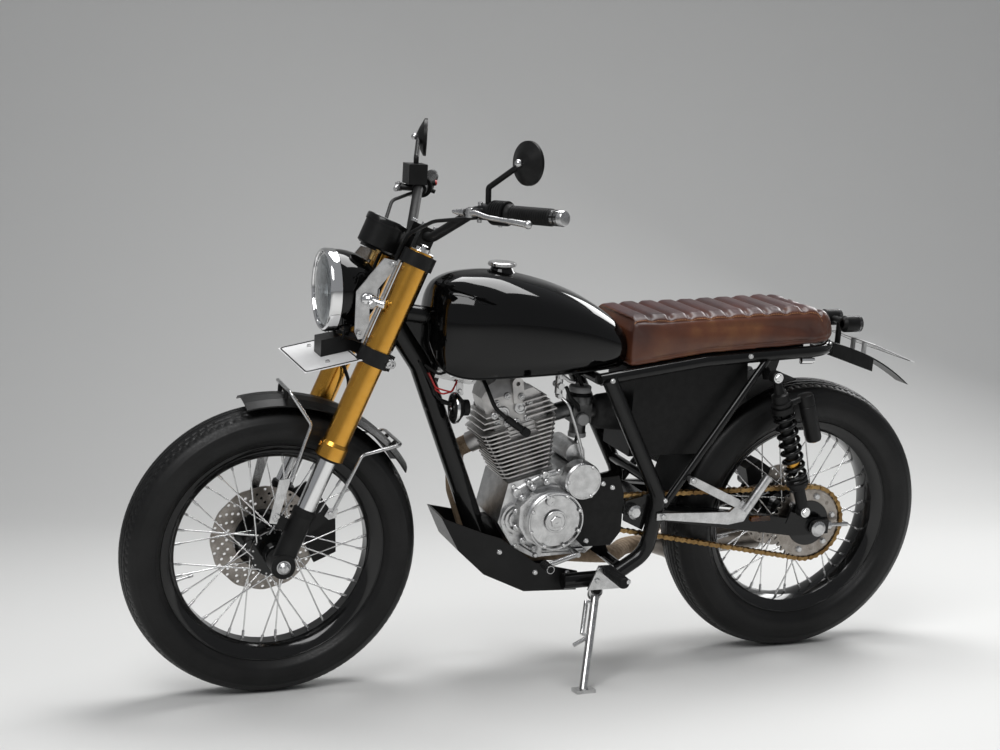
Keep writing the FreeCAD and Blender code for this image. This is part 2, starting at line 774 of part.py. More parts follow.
def stand_lug():
    """Ear under the left lower tube, with the stand's pivot pin."""
    axis = stand_axis()
    half = STAND_EYE / 2
    ear = rod(STAND_PIVOT - axis * (half + SEAT_GAP), STAND_PIVOT - axis * (half + 8), 15)
    root = STAND_PIVOT - axis * (half + 5)
    web = rod(root, V(root.x, -POST_Y, 240), 10)
    pin = rod(STAND_PIVOT - axis * (half + 4), STAND_PIVOT + axis * (half + 3), STAND_PIN_R)
    head = rod(STAND_PIVOT + axis * (half + SEAT_GAP), STAND_PIVOT + axis * (half + 4), 9)
    clear = rod(STAND_PIVOT - axis * (half + SEAT_GAP), STAND_PIVOT + axis * 60, 24)
    return [fuse([ear, web]).cut(clear), pin, head]


def frame():
    """Backbone, downtube, rear hoop, posts and braces, welded together."""
    spine = tube(SPINE_ROUTE, SPINE_R, 200)
    down = tube([(-404, 0, 834), (-330, 0, 728), (-176, 0, 340)], DOWN_R, 60)
    gusset = plate([(-384, 850), (-374, 792), (-300, 650), (-250, 820)], -5, 5)
    parts = [head_tube(), spine, down, gusset]
    for side in SIDES:
        parts += frame_side(side)
    parts.append(tube(rail_route(), RAIL_R, 85))
    for x, z, half, radius in CROSS_TUBES:
        parts.append(cross_tube(x, z, half - 3, radius))
    parts += engine_lugs() + stand_lug()
    return fuse(parts).cut(head_bore()).cut(pivot_bolt_tool(SEAT_GAP))


def pivot_bolt_tool(gap):
    half = POST_Y + 20
    return rod(V(PIVOT_X, -half, PIVOT_Z), V(PIVOT_X, half, PIVOT_Z), PIVOT_R + gap)


def pivot_bolt():
    outer = PIVOT_PLATE_Y + 8 + SEAT_GAP
    shank = rod(V(PIVOT_X, -outer - 4, PIVOT_Z), V(PIVOT_X, outer + 4, PIVOT_Z), PIVOT_R)
    heads = []
    for side in SIDES:
        start = V(PIVOT_X, side * outer, PIVOT_Z)
        heads.append(lathe([(0, 0), (0, 17), (14, 17), (18, 11), (18, 0)], start, V(0, side, 0)))
    return fuse([shank] + heads)


# Swinging arm and final drive

def arm_y(x):
    """Distance of the arm's middle from the centre plane."""
    share = (x - PIVOT_X) / (REAR_X - PIVOT_X)
    return ARM_Y_FRONT + (ARM_Y_REAR - ARM_Y_FRONT) * share


def swingarm():
    """Two box arms that spread towards the axle, on a cross tube."""
    low = PIVOT_X - 20
    high = REAR_X + 36
    rise = ARM_H / 2
    side_view = plate([(PIVOT_X, PIVOT_Z + rise), (REAR_X - 60, REAR_TYRE_R + 22),
                       (high, REAR_TYRE_R + 17), (high, REAR_TYRE_R - 17),
                       (REAR_X - 60, REAR_TYRE_R - 20), (PIVOT_X, PIVOT_Z - rise),
                       (PIVOT_X - rise, PIVOT_Z, PIVOT_X, PIVOT_Z + rise)], -140, 140)
    parts = []
    for side in SIDES:
        plan = [(low, side * (arm_y(low) - ARM_T / 2)), (high, side * (arm_y(high) - ARM_T / 2)),
                (high, side * (arm_y(high) + ARM_T / 2)), (low, side * (arm_y(low) + ARM_T / 2))]
        parts.append(side_view.common(slab(plan, 200, 500)))
        mount = arm_y(SHOCK_FOOT[0]) + ARM_T / 2
        y0 = min(side * (mount - 7), side * mount)
        z0 = SHOCK_FOOT[1]
        ear = plate([(570, z0 - 36), (588, z0 + 10), (612, z0 + 10), (634, z0 - 38)], y0, y0 + 7)
        foot = V(SHOCK_FOOT[0], 0, SHOCK_FOOT[1])
        pin = rod(foot + V(0, side * (mount - 5), 0), foot + V(0, side * (SHOCK_Y + 14), 0),
                  SHOCK_PIN_R)
        parts += [ear, pin]
    parts.append(cross_tube(PIVOT_X, PIVOT_Z, arm_y(PIVOT_X), 19))
    parts.append(Part.makeBox(64, 2 * arm_y(PIVOT_X), 34, V(PIVOT_X + 8, -arm_y(PIVOT_X), PIVOT_Z - 22)))
    body = fuse(parts)
    slot = cross_tube(REAR_X, REAR_TYRE_R, 160, REAR_AXLE_R + SEAT_GAP)
    return body.cut(slot).cut(pivot_bolt_tool(SEAT_GAP))


def rear_axle():
    """Axle with its nuts, spacers and the chain adjusters behind it."""
    outer = arm_y(REAR_X) + ARM_T / 2 + 2 + SEAT_GAP
    pin = cross_tube(REAR_X, REAR_TYRE_R, outer + 6, REAR_AXLE_R)
    parts = [pin]
    for side in SIDES:
        nut_face = REAR_AXLE + V(0, side * outer, 0)
        parts.append(lathe([(0, 0), (0, 19), (14, 19), (18, 12), (18, 0)], nut_face, V(0, side, 0)))
    inside = arm_y(REAR_X) - ARM_T / 2 - 2
    left = rod(REAR_AXLE + V(0, CARRIER_END - 1, 0), REAR_AXLE + V(0, -inside, 0), 15)
    right = rod(REAR_AXLE + V(0, REAR_HUB_W / 2 + 15, 0), REAR_AXLE + V(0, inside, 0), 15)
    return fuse(parts + [left, right])


def chain_adjusters():
    bolts = []
    for side in SIDES:
        x0 = REAR_X + 36 + SEAT_GAP
        start = V(x0, side * arm_y(x0), REAR_TYRE_R)
        bolts.append(lathe([(0, 0), (0, 11), (10, 11), (10, 5), (60, 5), (60, 0)], start, V(1, 0, 0)))
    return Part.makeCompound(bolts)


def rear_axle_set():
    """Wheel axle, chain adjusters and the arm's pivot bolt."""
    return Part.makeCompound([rear_axle(), chain_adjusters(), pivot_bolt()])


def chain_line(offset_roller, offset_link):
    """Outline of the loop, two points a link, at an offset from the pitch line."""
    reach = V(REAR_X - DRIVE_X, 0, REAR_TYRE_R - DRIVE_Z)
    tilt = math.atan2(reach.z, reach.x)
    spread = math.asin((DRIVEN_R - DRIVE_R) / reach.Length)
    top = tilt + spread + math.pi / 2
    low = tilt - spread - math.pi / 2
    run = reach.Length * math.cos(spread)
    wraps = (DRIVE_R * (math.pi - 2 * spread), DRIVEN_R * (math.pi + 2 * spread))
    total = 2 * run + sum(wraps)
    count = 2 * round(total / PITCH / 2) * 2
    points = []
    for index in range(count):
        along = total * index / count
        offset = offset_link if index % 2 else offset_roller
        if along < run:
            angle = top
            start = (DRIVE_X + DRIVE_R * math.cos(top), DRIVE_Z + DRIVE_R * math.sin(top))
            spot = (start[0] + along * math.sin(top), start[1] - along * math.cos(top))
        elif along < run + wraps[1]:
            angle = top - (along - run) / DRIVEN_R
            spot = (REAR_X + DRIVEN_R * math.cos(angle), REAR_TYRE_R + DRIVEN_R * math.sin(angle))
        elif along < 2 * run + wraps[1]:
            angle = low
            back = along - run - wraps[1]
            start = (REAR_X + DRIVEN_R * math.cos(low), REAR_TYRE_R + DRIVEN_R * math.sin(low))
            spot = (start[0] + back * math.sin(low), start[1] - back * math.cos(low))
        else:
            angle = low - (along - 2 * run - wraps[1]) / DRIVE_R
            spot = (DRIVE_X + DRIVE_R * math.cos(angle), DRIVE_Z + DRIVE_R * math.sin(angle))
        points.append((spot[0] + offset * math.cos(angle), spot[1] + offset * math.sin(angle)))
    return points


def chain():
    """Fixed loop with its links in its outline, grooved for the teeth."""
    half = CHAIN_H / 2
    y0 = CHAIN_Y - CHAIN_W / 2
    outer = plate(chain_line(half, half - 1.6), y0, y0 + CHAIN_W)
    inner = plate(chain_line(-half, -half + 1.6), y0, y0 + CHAIN_W)
    loop = outer.cut(inner)
    for x, z, tip in ((REAR_X, REAR_TYRE_R, DRIVEN_R + TOOTH), (DRIVE_X, DRIVE_Z, DRIVE_R + TOOTH)):
        groove = rod(V(x, CHAIN_Y - SPROCKET_T / 2 - 0.7, z), V(x, CHAIN_Y + SPROCKET_T / 2 + 0.7, z),
                     tip + 0.8)
        loop = loop.cut(groove)
    return loop


def toothed(x, z, radius, teeth):
    step = 2 * math.pi / teeth
    points = []
    for tooth in range(teeth):
        for share, reach in ((0.2, radius - 4.5), (0.42, radius + TOOTH),
                             (0.58, radius + TOOTH), (0.8, radius - 4.5)):
            angle = step * (tooth + share)
            points.append((x + reach * math.cos(angle), z + reach * math.sin(angle)))
    return plate(points, CHAIN_Y - SPROCKET_T / 2, CHAIN_Y + SPROCKET_T / 2)


def driven_sprocket():
    """Toothed ring on the left of the rear hub."""
    ring = toothed(REAR_X, REAR_TYRE_R, DRIVEN_R, REAR_TEETH)
    return ring.cut(cross_tube(REAR_X, REAR_TYRE_R, 120, CARRIER_R))


def sprocket_carrier():
    inner = -REAR_HUB_W / 2 - 12
    flange = CHAIN_Y + SPROCKET_T / 2 + SEAT_GAP
    points = [(inner, REAR_AXLE_R + 1), (inner, 44), (flange, CARRIER_R + 12),
              (flange, CARRIER_R - SEAT_GAP), (CARRIER_END, CARRIER_R - SEAT_GAP),
              (CARRIER_END, REAR_AXLE_R + 1)]
    return lathe(points, REAR_AXLE, V(0, 1, 0))


def rear_wire_wheel():
    wheel = wire_wheel(REAR_AXLE, REAR_RIM_W, REAR_HUB_R, REAR_HUB_W, REAR_AXLE_R + 1)
    carrier = disc_carrier(REAR_AXLE, REAR_HUB_W, REAR_DISC_Y, REAR_DISC_BORE)
    return wheel.multiFuse([sprocket_carrier(), carrier])


def drive_sprocket():
    wheel = toothed(DRIVE_X, DRIVE_Z, DRIVE_R, FRONT_TEETH)
    shaft = rod(V(DRIVE_X, -CASE_W / 2 - SEAT_GAP, DRIVE_Z), V(DRIVE_X, CHAIN_Y - 8, DRIVE_Z), 12)
    return fuse([wheel, shaft])


def shock_axis():
    top = V(SHOCK_TOP[0], SHOCK_Y, SHOCK_TOP[1])
    foot = V(SHOCK_FOOT[0], SHOCK_Y, SHOCK_FOOT[1])
    return top, (foot - top).normalize(), (foot - top).Length


def rear_shocks():
    """Coil-over shocks, eye to eye, each with a reservoir behind."""
    top, way, length = shock_axis()
    behind = V(-way.z, 0, way.x)
    bore = SHOCK_PIN_R + SEAT_GAP
    coils = [(44, 0), (44, 20), (88, 20), (88, SPRING_R)]
    for turn in range(SPRING_COILS):
        start = 88 + turn * SPRING_PITCH
        coils += [(start + SPRING_PITCH / 2, SPRING_R - 7), (start + SPRING_PITCH, SPRING_R)]
    end = 88 + SPRING_COILS * SPRING_PITCH
    coils += [(end + 6, SPRING_R), (end + 6, 14), (length - 10, 14), (length - 10, 0)]
    body = lathe(coils, top, way)
    eyes = [rod(top - V(0, 11, 0), top + V(0, 11, 0), 15),
            rod(top + way * length - V(0, 11, 0), top + way * length + V(0, 11, 0), 15)]
    neck = rod(top, top + way * 50, 11)
    bottle = lathe([(66, 0), (66, 17), (70, 19), (182, 19), (186, 17), (186, 0)],
                   top + behind * 64, way)
    bridge = rod(top + way * 72, top + way * 76 + behind * 64, 8)
    holes = [rod(top - V(0, 20, 0), top + V(0, 20, 0), bore),
             rod(top + way * length - V(0, 20, 0), top + way * length + V(0, 20, 0), bore)]
    shock = fuse([body, neck, bottle, bridge] + eyes)
    for hole in holes:
        shock = shock.cut(hole)
    return both(shock)


# Engine

def crankcase():
    outline = [(-132, 469), CASE_TOP[0], CASE_TOP[1], (112, 462), (132, 400), (118, 334), (70, 296),
               (-60, 292), (-112, 318), (-152, 380)]
    return plate(outline, -CASE_W / 2, CASE_W / 2)


def fin(front, back, half, at):
    """Flat fin with its corners cut."""
    cut = 12
    return slab([(-front, -half + cut), (-front + cut, -half), (back - cut, -half),
                 (back, -half + cut), (back, half - cut), (back - cut, half),
                 (-front + cut, half), (-front, half - cut)], at, at + FIN_T)


def finned(first, count):
    """Fins that grow longer towards the head."""
    fins = []
    for index in range(first, first + count):
        at = CYL_FOOT + 6 + index * FIN_PITCH
        grow = index / (CYL_FINS + HEAD_FINS - 1)
        fins.append(fin(66 + 30 * grow, 54 + 32 * grow, 62 + 6 * grow, at))
    return fins


def cylinder():
    top = CYL_FOOT + 6 + CYL_FINS * FIN_PITCH - 4
    core = Part.makeCylinder(48, top - CYL_FOOT - SEAT_GAP, V(0, 0, CYL_FOOT + SEAT_GAP))
    base = slab([(-56, -52), (56, -52), (56, 52), (-56, 52)], CYL_FOOT + SEAT_GAP, CYL_FOOT + 5)
    return on_cylinder(fuse([core, base] + finned(0, CYL_FINS)))


def port_axis():
    """Exhaust port in the cylinder's coordinates, turned down and out."""
    return V(-50, 20, 182), V(-98, 46, 164)


def intake_axis():
    return V(50, 0, 190), V(96, 0, 190)


def rocker_cover(low):
    """Domed cover, with its sides and ends drawn in towards the top."""
    side = plate([(-66, low), (-72, 282), (-54, 308), (-24, HEAD_TOP), (14, HEAD_TOP - 4), (50, 276),
                  (76, 248), (88, low + 8), (88, low)], -COVER_Y, COVER_Y)
    slope = [(-COVER_Y, low), (-COVER_Y, low + 70), (-COVER_Y + 14, HEAD_TOP)]
    ends = slope + [(-y, z) for y, z in slope[::-1]]
    across = face_on(lambda y, z: V(-90, y, z), ends).extrude(V(190, 0, 0))
    half = COVER_Y
    plan = slab([(-74, -half + 16), (-50, -half), (62, -half), (90, -half + 14), (90, half - 14),
                 (62, half), (-50, half), (-74, half - 16)], low, HEAD_TOP)
    return side.common(across).common(plan)


def cover_fins(low):
    """Short fins behind and before the cover's sides."""
    half = COVER_Y + 12
    fins = []
    for index in range(4):
        at = low + 9 + 12 * index
        back = 90 - 6 * index
        fins.append(slab([(16, -half), (back, -half), (back, half), (16, half)], at, at + FIN_T))
        if index < 3:
            front = -90 + 6 * index
            fins.append(slab([(front, -half), (-46, -half), (-46, half), (front, half)],
                             at, at + FIN_T))
    return fins


def steady_lug():
    """Upright lug on the cover's left side, with its hole."""
    face = -COVER_Y - 6
    lug = plate([(-122, 648), (-128, 694), (-115, 707, -102, 694), (-96, 648)], face, face + 12)
    return lug.cut(rod(V(-115, face - 1, 693), V(-115, face + 13, 693), 5))


def cylinder_head():
    low = CYL_FOOT + 6 + CYL_FINS * FIN_PITCH - 4 + SEAT_GAP
    top = CYL_FOOT + 6 + (CYL_FINS + HEAD_FINS) * FIN_PITCH - 4
    core = slab([(-60, -48), (66, -48), (66, 48), (-60, 48)], low, top)
    port = rod(port_axis()[0], port_axis()[1], 24)
    intake = rod(intake_axis()[0], intake_axis()[1], 21)
    body = fuse([core, rocker_cover(top), port, intake] + finned(CYL_FINS, HEAD_FINS)
                + cover_fins(top))
    notch = Part.makeBox(66, 40, top - PLUG_UP + 17, V(-33, -92, PLUG_UP - 12))
    plug = rod(V(0, -48, PLUG_UP), V(0, -PLUG_Y, PLUG_UP), 7)
    return on_cylinder(body.cut(notch).fuse(plug)).fuse(steady_lug())


def left_covers():
    """Generator cover and the round lid of the starter drive, cast as one."""
    face = -CASE_W / 2 - SEAT_GAP
    drum = lathe([(0, 0), (0, DRUM_R + 4), (10, DRUM_R + 4), (10, DRUM_R), (40, DRUM_R - 2),
                  (47, DRUM_R - 10), (47, 20), (52, 18), (52, 0)],
                 V(DRUM[0], face, DRUM[1]), V(0, -1, 0))
    lobe = plate([(-32, 462), (-84, 452), (-114, 424), (-114, 380), (-92, 344), (-32, 322)],
                 face - 34, face)
    lid = lathe([(0, 0), (0, LID_R), (32, LID_R), (38, LID_R - 5), (38, 0)],
                V(LID[0], face, LID[1]), V(0, -1, 0))
    return fuse([drum, lobe, lid])


def starter_motor():
    """Round motor lying on the crankcase's top."""
    left, right = [V(x, 0, z) for x, z in CASE_TOP]
    slope = (right - left).normalize()
    middle = left + slope * 48 + V(-slope.z, 0, slope.x) * (STARTER_R + SEAT_GAP)
    return rod(middle + V(0, -58, 0), middle + V(0, 50, 0), STARTER_R)


def clutch_cover():
    start = V(10, CASE_W / 2 + SEAT_GAP, 392)
    return lathe([(0, 0), (0, 82), (24, 80), (36, 66), (36, 0)], start, V(0, 1, 0))


def engine_covers():
    return Part.makeCompound([left_covers(), clutch_cover()])


def foot_levers():
    return Part.makeCompound([gear_lever(), brake_pedal()])


def sprocket_cover():
    """Plate over the front sprocket, on three standoffs, cut round the engine covers."""
    y1 = CHAIN_Y - CHAIN_W / 2 - 4
    sheet = plate([(22, 440), (64, 478), (128, 484), (143, 440), (142, 352), (118, 320), (50, 320),
                   (22, 346)], y1 - 5, y1)
    for (x, z), radius in ((DRUM, DRUM_R), (LID, LID_R)):
        sheet = sheet.cut(rod(V(x, y1 - 10, z), V(x, y1 + 5, z), radius + 1.5))
    posts = [rod(V(x, -CASE_W / 2 - SEAT_GAP, z), V(x, y1, z), 5)
             for x, z in ((112, 458), (88, 468), (56, 334))]
    return fuse([sheet] + posts)


def carburettor():
    """Body with its float bowl and round top, from the intake to the filter."""
    start, end = [on_cylinder(Part.Vertex(p)).Point for p in intake_axis()]
    way = (end - start).normalize()
    neck = rod(end + way * SEAT_GAP, end + way * 42, 20)
    bowl = rod(V(CARB_X, 0, 562), V(CARB_X, 0, 592), 19)
    dome = lathe([(634, 0), (634, 31), (652, 31), (660, 24), (660, 0)], V(CARB_X, 0, 0), V(0, 0, 1))
    outlet = rod(V(CARB_X + 20, 0, 612), V(FILTER_X - SEAT_GAP, 0, 612), 18)
    return fuse([Part.makeBox(46, 46, 46, V(CARB_X - 23, -23, 590)), neck, bowl, dome, outlet])


def air_filter():
    return lathe([(0, 0), (0, 34), (12, 40), (62, 46), (62, 0)], V(FILTER_X, 0, 612), V(1, 0, 0))


def ignition_lead():
    """Plug cap and the lead that runs up beside the head to the frame's backbone."""
    plug = on_cylinder(Part.Vertex(V(0, 0, PLUG_UP))).Point
    elbow = V(-146, -72, 620)
    turn = V(plug.x, -PLUG_Y - 10, plug.z)
    cap = rod(V(plug.x, -PLUG_Y - SEAT_GAP, plug.z), turn + V(0, -10, 0), 10)
    boot = rod(turn, elbow, 8)
    way = (elbow - turn).normalize()
    route = [tuple(elbow - way * 4), (-174, -70, 644), (-186, -52, 680), (-187, -12, 702),
             (-186, 0, 740), (-186, 0, 796.3)]
    return fuse([cap, boot, tube(route, CABLE_R + 0.5)])


HEADER_ROUTE = [(-208, 66, 420), (-165, 62, 300), (-96, 62, 258), (30, 62, 254), (150, 64, 240),
                (214, 78, 230), (280, 150, 225.12), (352, 150, 228)]


def exhaust_header():
    """Pipe from the port, round the downtube, to the silencer."""
    start, end = [on_cylinder(Part.Vertex(p)).Point for p in port_axis()]
    way = (end - start).normalize()
    first = end + way * 2 * SEAT_GAP
    corner = end + way * 40
    return tube([tuple(first), tuple(corner)] + HEADER_ROUTE, PIPE_R, 70)


def silencer_axis():
    return V(*HEADER_ROUTE[-1]), V(1, 0, 0.04).normalize()


def silencer():
    start, way = silencer_axis()
    radius = SILENCER_R
    return lathe([(SEAT_GAP, 0), (SEAT_GAP, 26), (40, radius), (300, radius), (318, 34), (318, 24),
                  (330, 24), (330, 19), (300, 19), (300, 0)], start, way)


def skid_plate():
    """Folded sheet under the engine, open at the top and narrower in front."""
    low = [(-278, 390), (-240, 316), (-185, 265), (-85, 218), (45, 213)]
    outer = low + [(45, 258), (-60, 284), (-150, 348), (-205, 366)]
    inner = [(-275, 396), (-237, 320), (-183, 269), (-84, 221.5), (60, 216), (60, 420), (-200, 430)]
    plan = [(-290, -48), (-190, -SKID_Y), (70, -SKID_Y), (70, SKID_Y), (-190, SKID_Y), (-290, 48)]
    wall = SKID_Y - SKID_T
    within = [(-290, -45), (-189, -wall), (70, -wall), (70, wall), (-189, wall), (-290, 45)]
    body = plate(outer, -SKID_Y, SKID_Y).common(slab(plan, 200, 440))
    hollow = plate(inner, -SKID_Y, SKID_Y).common(slab(within, 200, 440))
    return body.cut(hollow)


# Foot controls

def rider_footpegs():
    """Plate, boss and rubber peg on each side."""
    y0 = PEG_PLATE_Y
    sheet = plate([(38, 240), (128, 240), (96, 296), (62, 296)], -y0 - 5, -y0)
    boss = rod(V(86, -POST_Y, 250), V(86, -y0 - 2, 276), 7)
    boss = boss.cut(rod(*lower_run(-1), POST_R + SEAT_GAP))
    peg = rod(V(86, -y0 - 4, 284), V(86, -y0 - 5 - PEG_L, 284), PEG_R)
    return both(fuse([sheet, boss, peg]))


def gear_lever():
    y = -CASE_W / 2 - SEAT_GAP
    shaft = rod(V(20, y, 316), V(20, -146, 316), 6)
    arm = tube([(20, -140, 316), (-40, -144, 300), (-60, -146, 298)], 6, 20)
    toe = rod(V(-60, -140, 298), V(-60, -180, 298), 9)
    return fuse([shaft, arm, toe])


def brake_pedal():
    y = PEG_PLATE_Y - 12
    shaft = rod(V(60, POST_Y, 262), V(60, y, 262), 6).cut(rod(*lower_run(1), POST_R + SEAT_GAP))
    arm = tube([(60, y, 262), (0, y + 2, 262), (-60, y - 2, 288)], 6, 20)
    toe = Part.makeBox(36, 40, 8, V(-84, y - 14, 286))
    return fuse([shaft, arm, toe])


def passenger_footpegs():
    """Brackets behind the posts; the right one also holds the silencer."""
    y0 = -POST_Y - POST_R - 10
    blade = plate([(212, 402), (232, 402), (400, 396), (432, 424), (456, 400), (440, 372),
                   (400, 366), (232, 386), (212, 386)], y0, y0 + 8)
    arm = plate([(290, 484), (302, 484), (426, 424), (420, 404), (288, 470)], y0, y0 + 8)
    bolt_low = rod(V(228, y0 + 4, 394), V(228, -POST_Y - POST_R - SEAT_GAP, 394), 7)
    bolt_top = rod(V(297, y0 + 4, 477), V(297, -POST_Y - 7.5, 477), 7)
    peg = tube([(436, y0 - 6, 398), (488, y0 - 12, 482)], 11)
    left = fuse([blade, arm, peg, bolt_low, bolt_top])
    hanger = plate([(400, 250), (400, 380), (430, 380), (430, 250)], -y0 - 8, -y0)
    start, way = silencer_axis()
    hanger = hanger.cut(rod(start, start + way * 300, SILENCER_R + SEAT_GAP))
    return Part.makeCompound([left, fuse([mirrored(left), hanger])])


# Tank and seat

def tank_section(x, low, top, half):
    """Cross-section with a flat floor, round flanks and a crowned top."""
    rise = top - low
    widest = low + 0.42 * rise
    shoulder = low + 0.80 * rise
    foot = 0.80 * half
    points = [(-foot, low), (-half, widest, -0.80 * half, shoulder), (0, top, 0.80 * half, shoulder),
              (half, widest, foot, low)]
    return face_on(lambda y, z: V(x, y, z), points).OuterWire


TANK_STATIONS = [(-322, 786, 862, 0.30), (-312, 752, 904, 0.52), (-290, 726, 926, 0.70),
                 (-240, 716, 940, 0.90), (-160, 720, 942, 1.0), (-60, 724, 922, 0.98),
                 (30, 728, 890, 0.88), (100, 733, 850, 0.76), (TANK_REAR, 740, 824, 0.66)]


def tank_body():
    sections = [tank_section(x, low, top, share * TANK_W / 2) for x, low, top, share in TANK_STATIONS]
    return Part.makeLoft(sections, True, True)


def fuel_tank():
    """Lofted tank with a tunnel for the backbone and a seat for the cap."""
    front, middle, rear = [V(*point) for point in SPINE_ROUTE]
    ends = [front + (front - middle) * 0.3, middle, rear + (rear - middle) * 0.3]
    tunnel = tube([tuple(point) for point in ends], SPINE_R + SEAT_GAP, 200)
    below = plate([(ends[0].x, ends[0].z), (middle.x, middle.z), (ends[2].x, ends[2].z),
                   (ends[2].x, 640), (ends[0].x, 640)],
                  -SPINE_R - SEAT_GAP, SPINE_R + SEAT_GAP)
    pocket = Part.makeCylinder(CAP_NECK_R + SEAT_GAP, 40, V(CAP_X, 0, CAP_Z - SEAT_GAP))
    return tank_body().cut(tunnel).cut(below).cut(pocket)


def tank_fittings():
    """Filler cap on its neck, and the tap under the tank."""
    cap = lathe([(0, 0), (0, CAP_NECK_R), (15, CAP_NECK_R), (15, 31), (21, 31), (23, 28), (23, 0)],
                V(CAP_X, 0, CAP_Z), V(0, 0, 1))
    tap = fuse([rod(V(-20, -60, 672), V(-20, -60, 745), 9), rod(V(-20, -78, 690), V(-20, -42, 690), 8)])
    return Part.makeCompound([cap, cut_clear(tap, tank_body(), V(0, 0, -SEAT_GAP))])


def under_seat(x, depth=0.0):
    """Point below the seat's underside, which lies on the rails."""
    front, middle, rear = RAIL_LINE
    if x < middle[0]:
        low, high = front, middle
    else:
        low, high = middle, rear
    z = low[1] + (high[1] - low[1]) * (x - low[0]) / (high[0] - low[0])
    return (x, z + RAIL_R + 2 * SEAT_GAP - depth)


def seat():
    """Long pad with a rounded tail, on the rails and against the tank."""
    front = TANK_REAR + SEAT_GAP
    outline = [under_seat(front), (front, 852), (300, 860), (590, 874), (668, 850, 678, 800),
               under_seat(RAIL_LINE[2][0]), under_seat(RAIL_LINE[1][0])]
    return plate(outline, -SEAT_W / 2, SEAT_W / 2)


def battery_box():
    """Seat pan and closed box in the rear triangle, hollowed for the tyre guard."""
    ring = GUARD_R + 3 + SEAT_GAP
    half = RAIL_Y - RAIL_R - SEAT_GAP

    def on_ring(angle):
        return (REAR_X + ring * math.cos(rad(angle)), REAR_TYRE_R + ring * math.sin(rad(angle)))

    pan_end = HOOP_END - 95
    pan = [under_seat(x, SEAT_GAP) for x in (TANK_REAR + 2, RAIL_LINE[1][0], pan_end)]
    pan += [under_seat(x, SEAT_PAN_T) for x in (pan_end, RAIL_LINE[1][0], TANK_REAR + 2)]
    box = [(162, 520), under_seat(162, 6), under_seat(RAIL_LINE[1][0], 6), under_seat(450, 6),
           on_ring(122), on_ring(136) + on_ring(150)]
    body = fuse([plate(pan, -half, half), plate(box, -half + 20, half - 20)])
    for x, z, reach, radius in CROSS_TUBES[:2]:
        body = body.cut(cross_tube(x, z, reach, radius + SEAT_GAP))
    return body


def tyre_guard():
    """Inner mudguard that follows the rear tyre."""
    points = [(-70, GUARD_R), (70, GUARD_R), (70, GUARD_R + 3), (-70, GUARD_R + 3)]
    strip = lathe(points, REAR_AXLE, V(0, 1, 0), 72)
    strip.rotate(REAR_AXLE, V(0, 1, 0), -172)
    return strip


def rear_fender():
    """Curved sheet behind the hoop, narrower at its tip."""
    front = HOOP_END + RAIL_R + SEAT_GAP
    outer = [(front, 777), (800, 744, 945, 662), (925, 668), (790, 712, front, 744)]
    body = plate(outer, -52, 52)
    inner = [(600, 773.5), (front, 773.5), (800, 740, 950, 655), (950, 600), (600, 600)]
    body = body.cut(plate(inner, -49, 49))
    plan = [(600, -52), (800, -52), (946, -20), (946, 20), (800, 52), (600, 52)]
    return body.common(slab(plan, 600, 800))


def rear_mudguards():
    return Part.makeCompound([rear_fender(), tyre_guard()])


def fender_fill():
    """Everything under the rear fender's top line."""
    front = HOOP_END + RAIL_R
    return plate([(front, 777), (800, 744, 945, 662), (945, 600), (front, 600)], -90, 90)


def tail_lamps():
    cans = []
    for side in SIDES:
        cans.append(lathe([(0, 0), (0, 14), (6, 20), (48, 20), (48, 0)], V(716, side * 44, 822),
                          V(1, 0, 0)))
    bar = rod(V(738, -30, 822), V(738, 30, 822), 8)
    stem = rod(V(738, 0, 822), V(738, 0, 740), 7)
    stem = cut_clear(stem, fender_fill(), V(0, 0, SEAT_GAP))
    return fuse(cans + [bar, stem])


def rear_plate():
    """Flat plate on two posts over the rear fender."""
    board = plate([(760, 786), (878, 742), (879, 744), (761, 788)], -125, 125)
    posts = [rod(V(800, y, 700), V(800, y, 772), 6) for y in (-24, 24)]
    posts = [cut_clear(post, fender_fill(), V(0, 0, SEAT_GAP)) for post in posts]
    return fuse([board] + posts)


def horn():
    body = lathe([(0, 0), (0, 34), (8, 34), (22, 18), (34, 18), (34, 0)], V(-262, -44, 640), V(1, 0, 0))
    strip = rod(V(-234, -44, 640), V(-292, -10, 650), 5)
    tube_room = rod(V(-330, 0, 728), V(-176, 0, 340), DOWN_R + SEAT_GAP)
    return fuse([body, strip]).cut(tube_room)


def rear_brake():
    """Caliper over the disc, on a carrier plate round the axle spacer."""
    def near(points):
        return [(REAR_X + x, REAR_TYRE_R + z) for x, z in points]

    caliper = plate(near([(-90, 56), (-102, 100), (-66, 122), (-32, 100), (-44, 64)]), 50, 96)
    slot = rod(V(REAR_X, REAR_DISC_Y - RUN_GAP, REAR_TYRE_R),
               V(REAR_X, REAR_DISC_Y + DISC_T + RUN_GAP, REAR_TYRE_R), REAR_DISC_R + RUN_GAP)
    carrier = plate(near([(-18, -24), (18, -24), (26, 10), (-32, 100), (-94, 100), (-44, 32)]), 88, 96)
    eye = cross_tube(REAR_X, REAR_TYRE_R, 130, 15 + SEAT_GAP)
    return fuse([caliper.cut(slot), carrier]).cut(eye)


# Side stand

def unleaned(shape):
    """From the leaning world back to the upright bike."""
    moved = shape.copy()
    moved.rotate(V(0, 0, CROWN_R), V(1, 0, 0), -LEAN)
    return moved


def stand_axis():
    down = (STAND_FOOT - STAND_PIVOT).normalize()
    return down.cross(STAND_FOLDED).normalize()


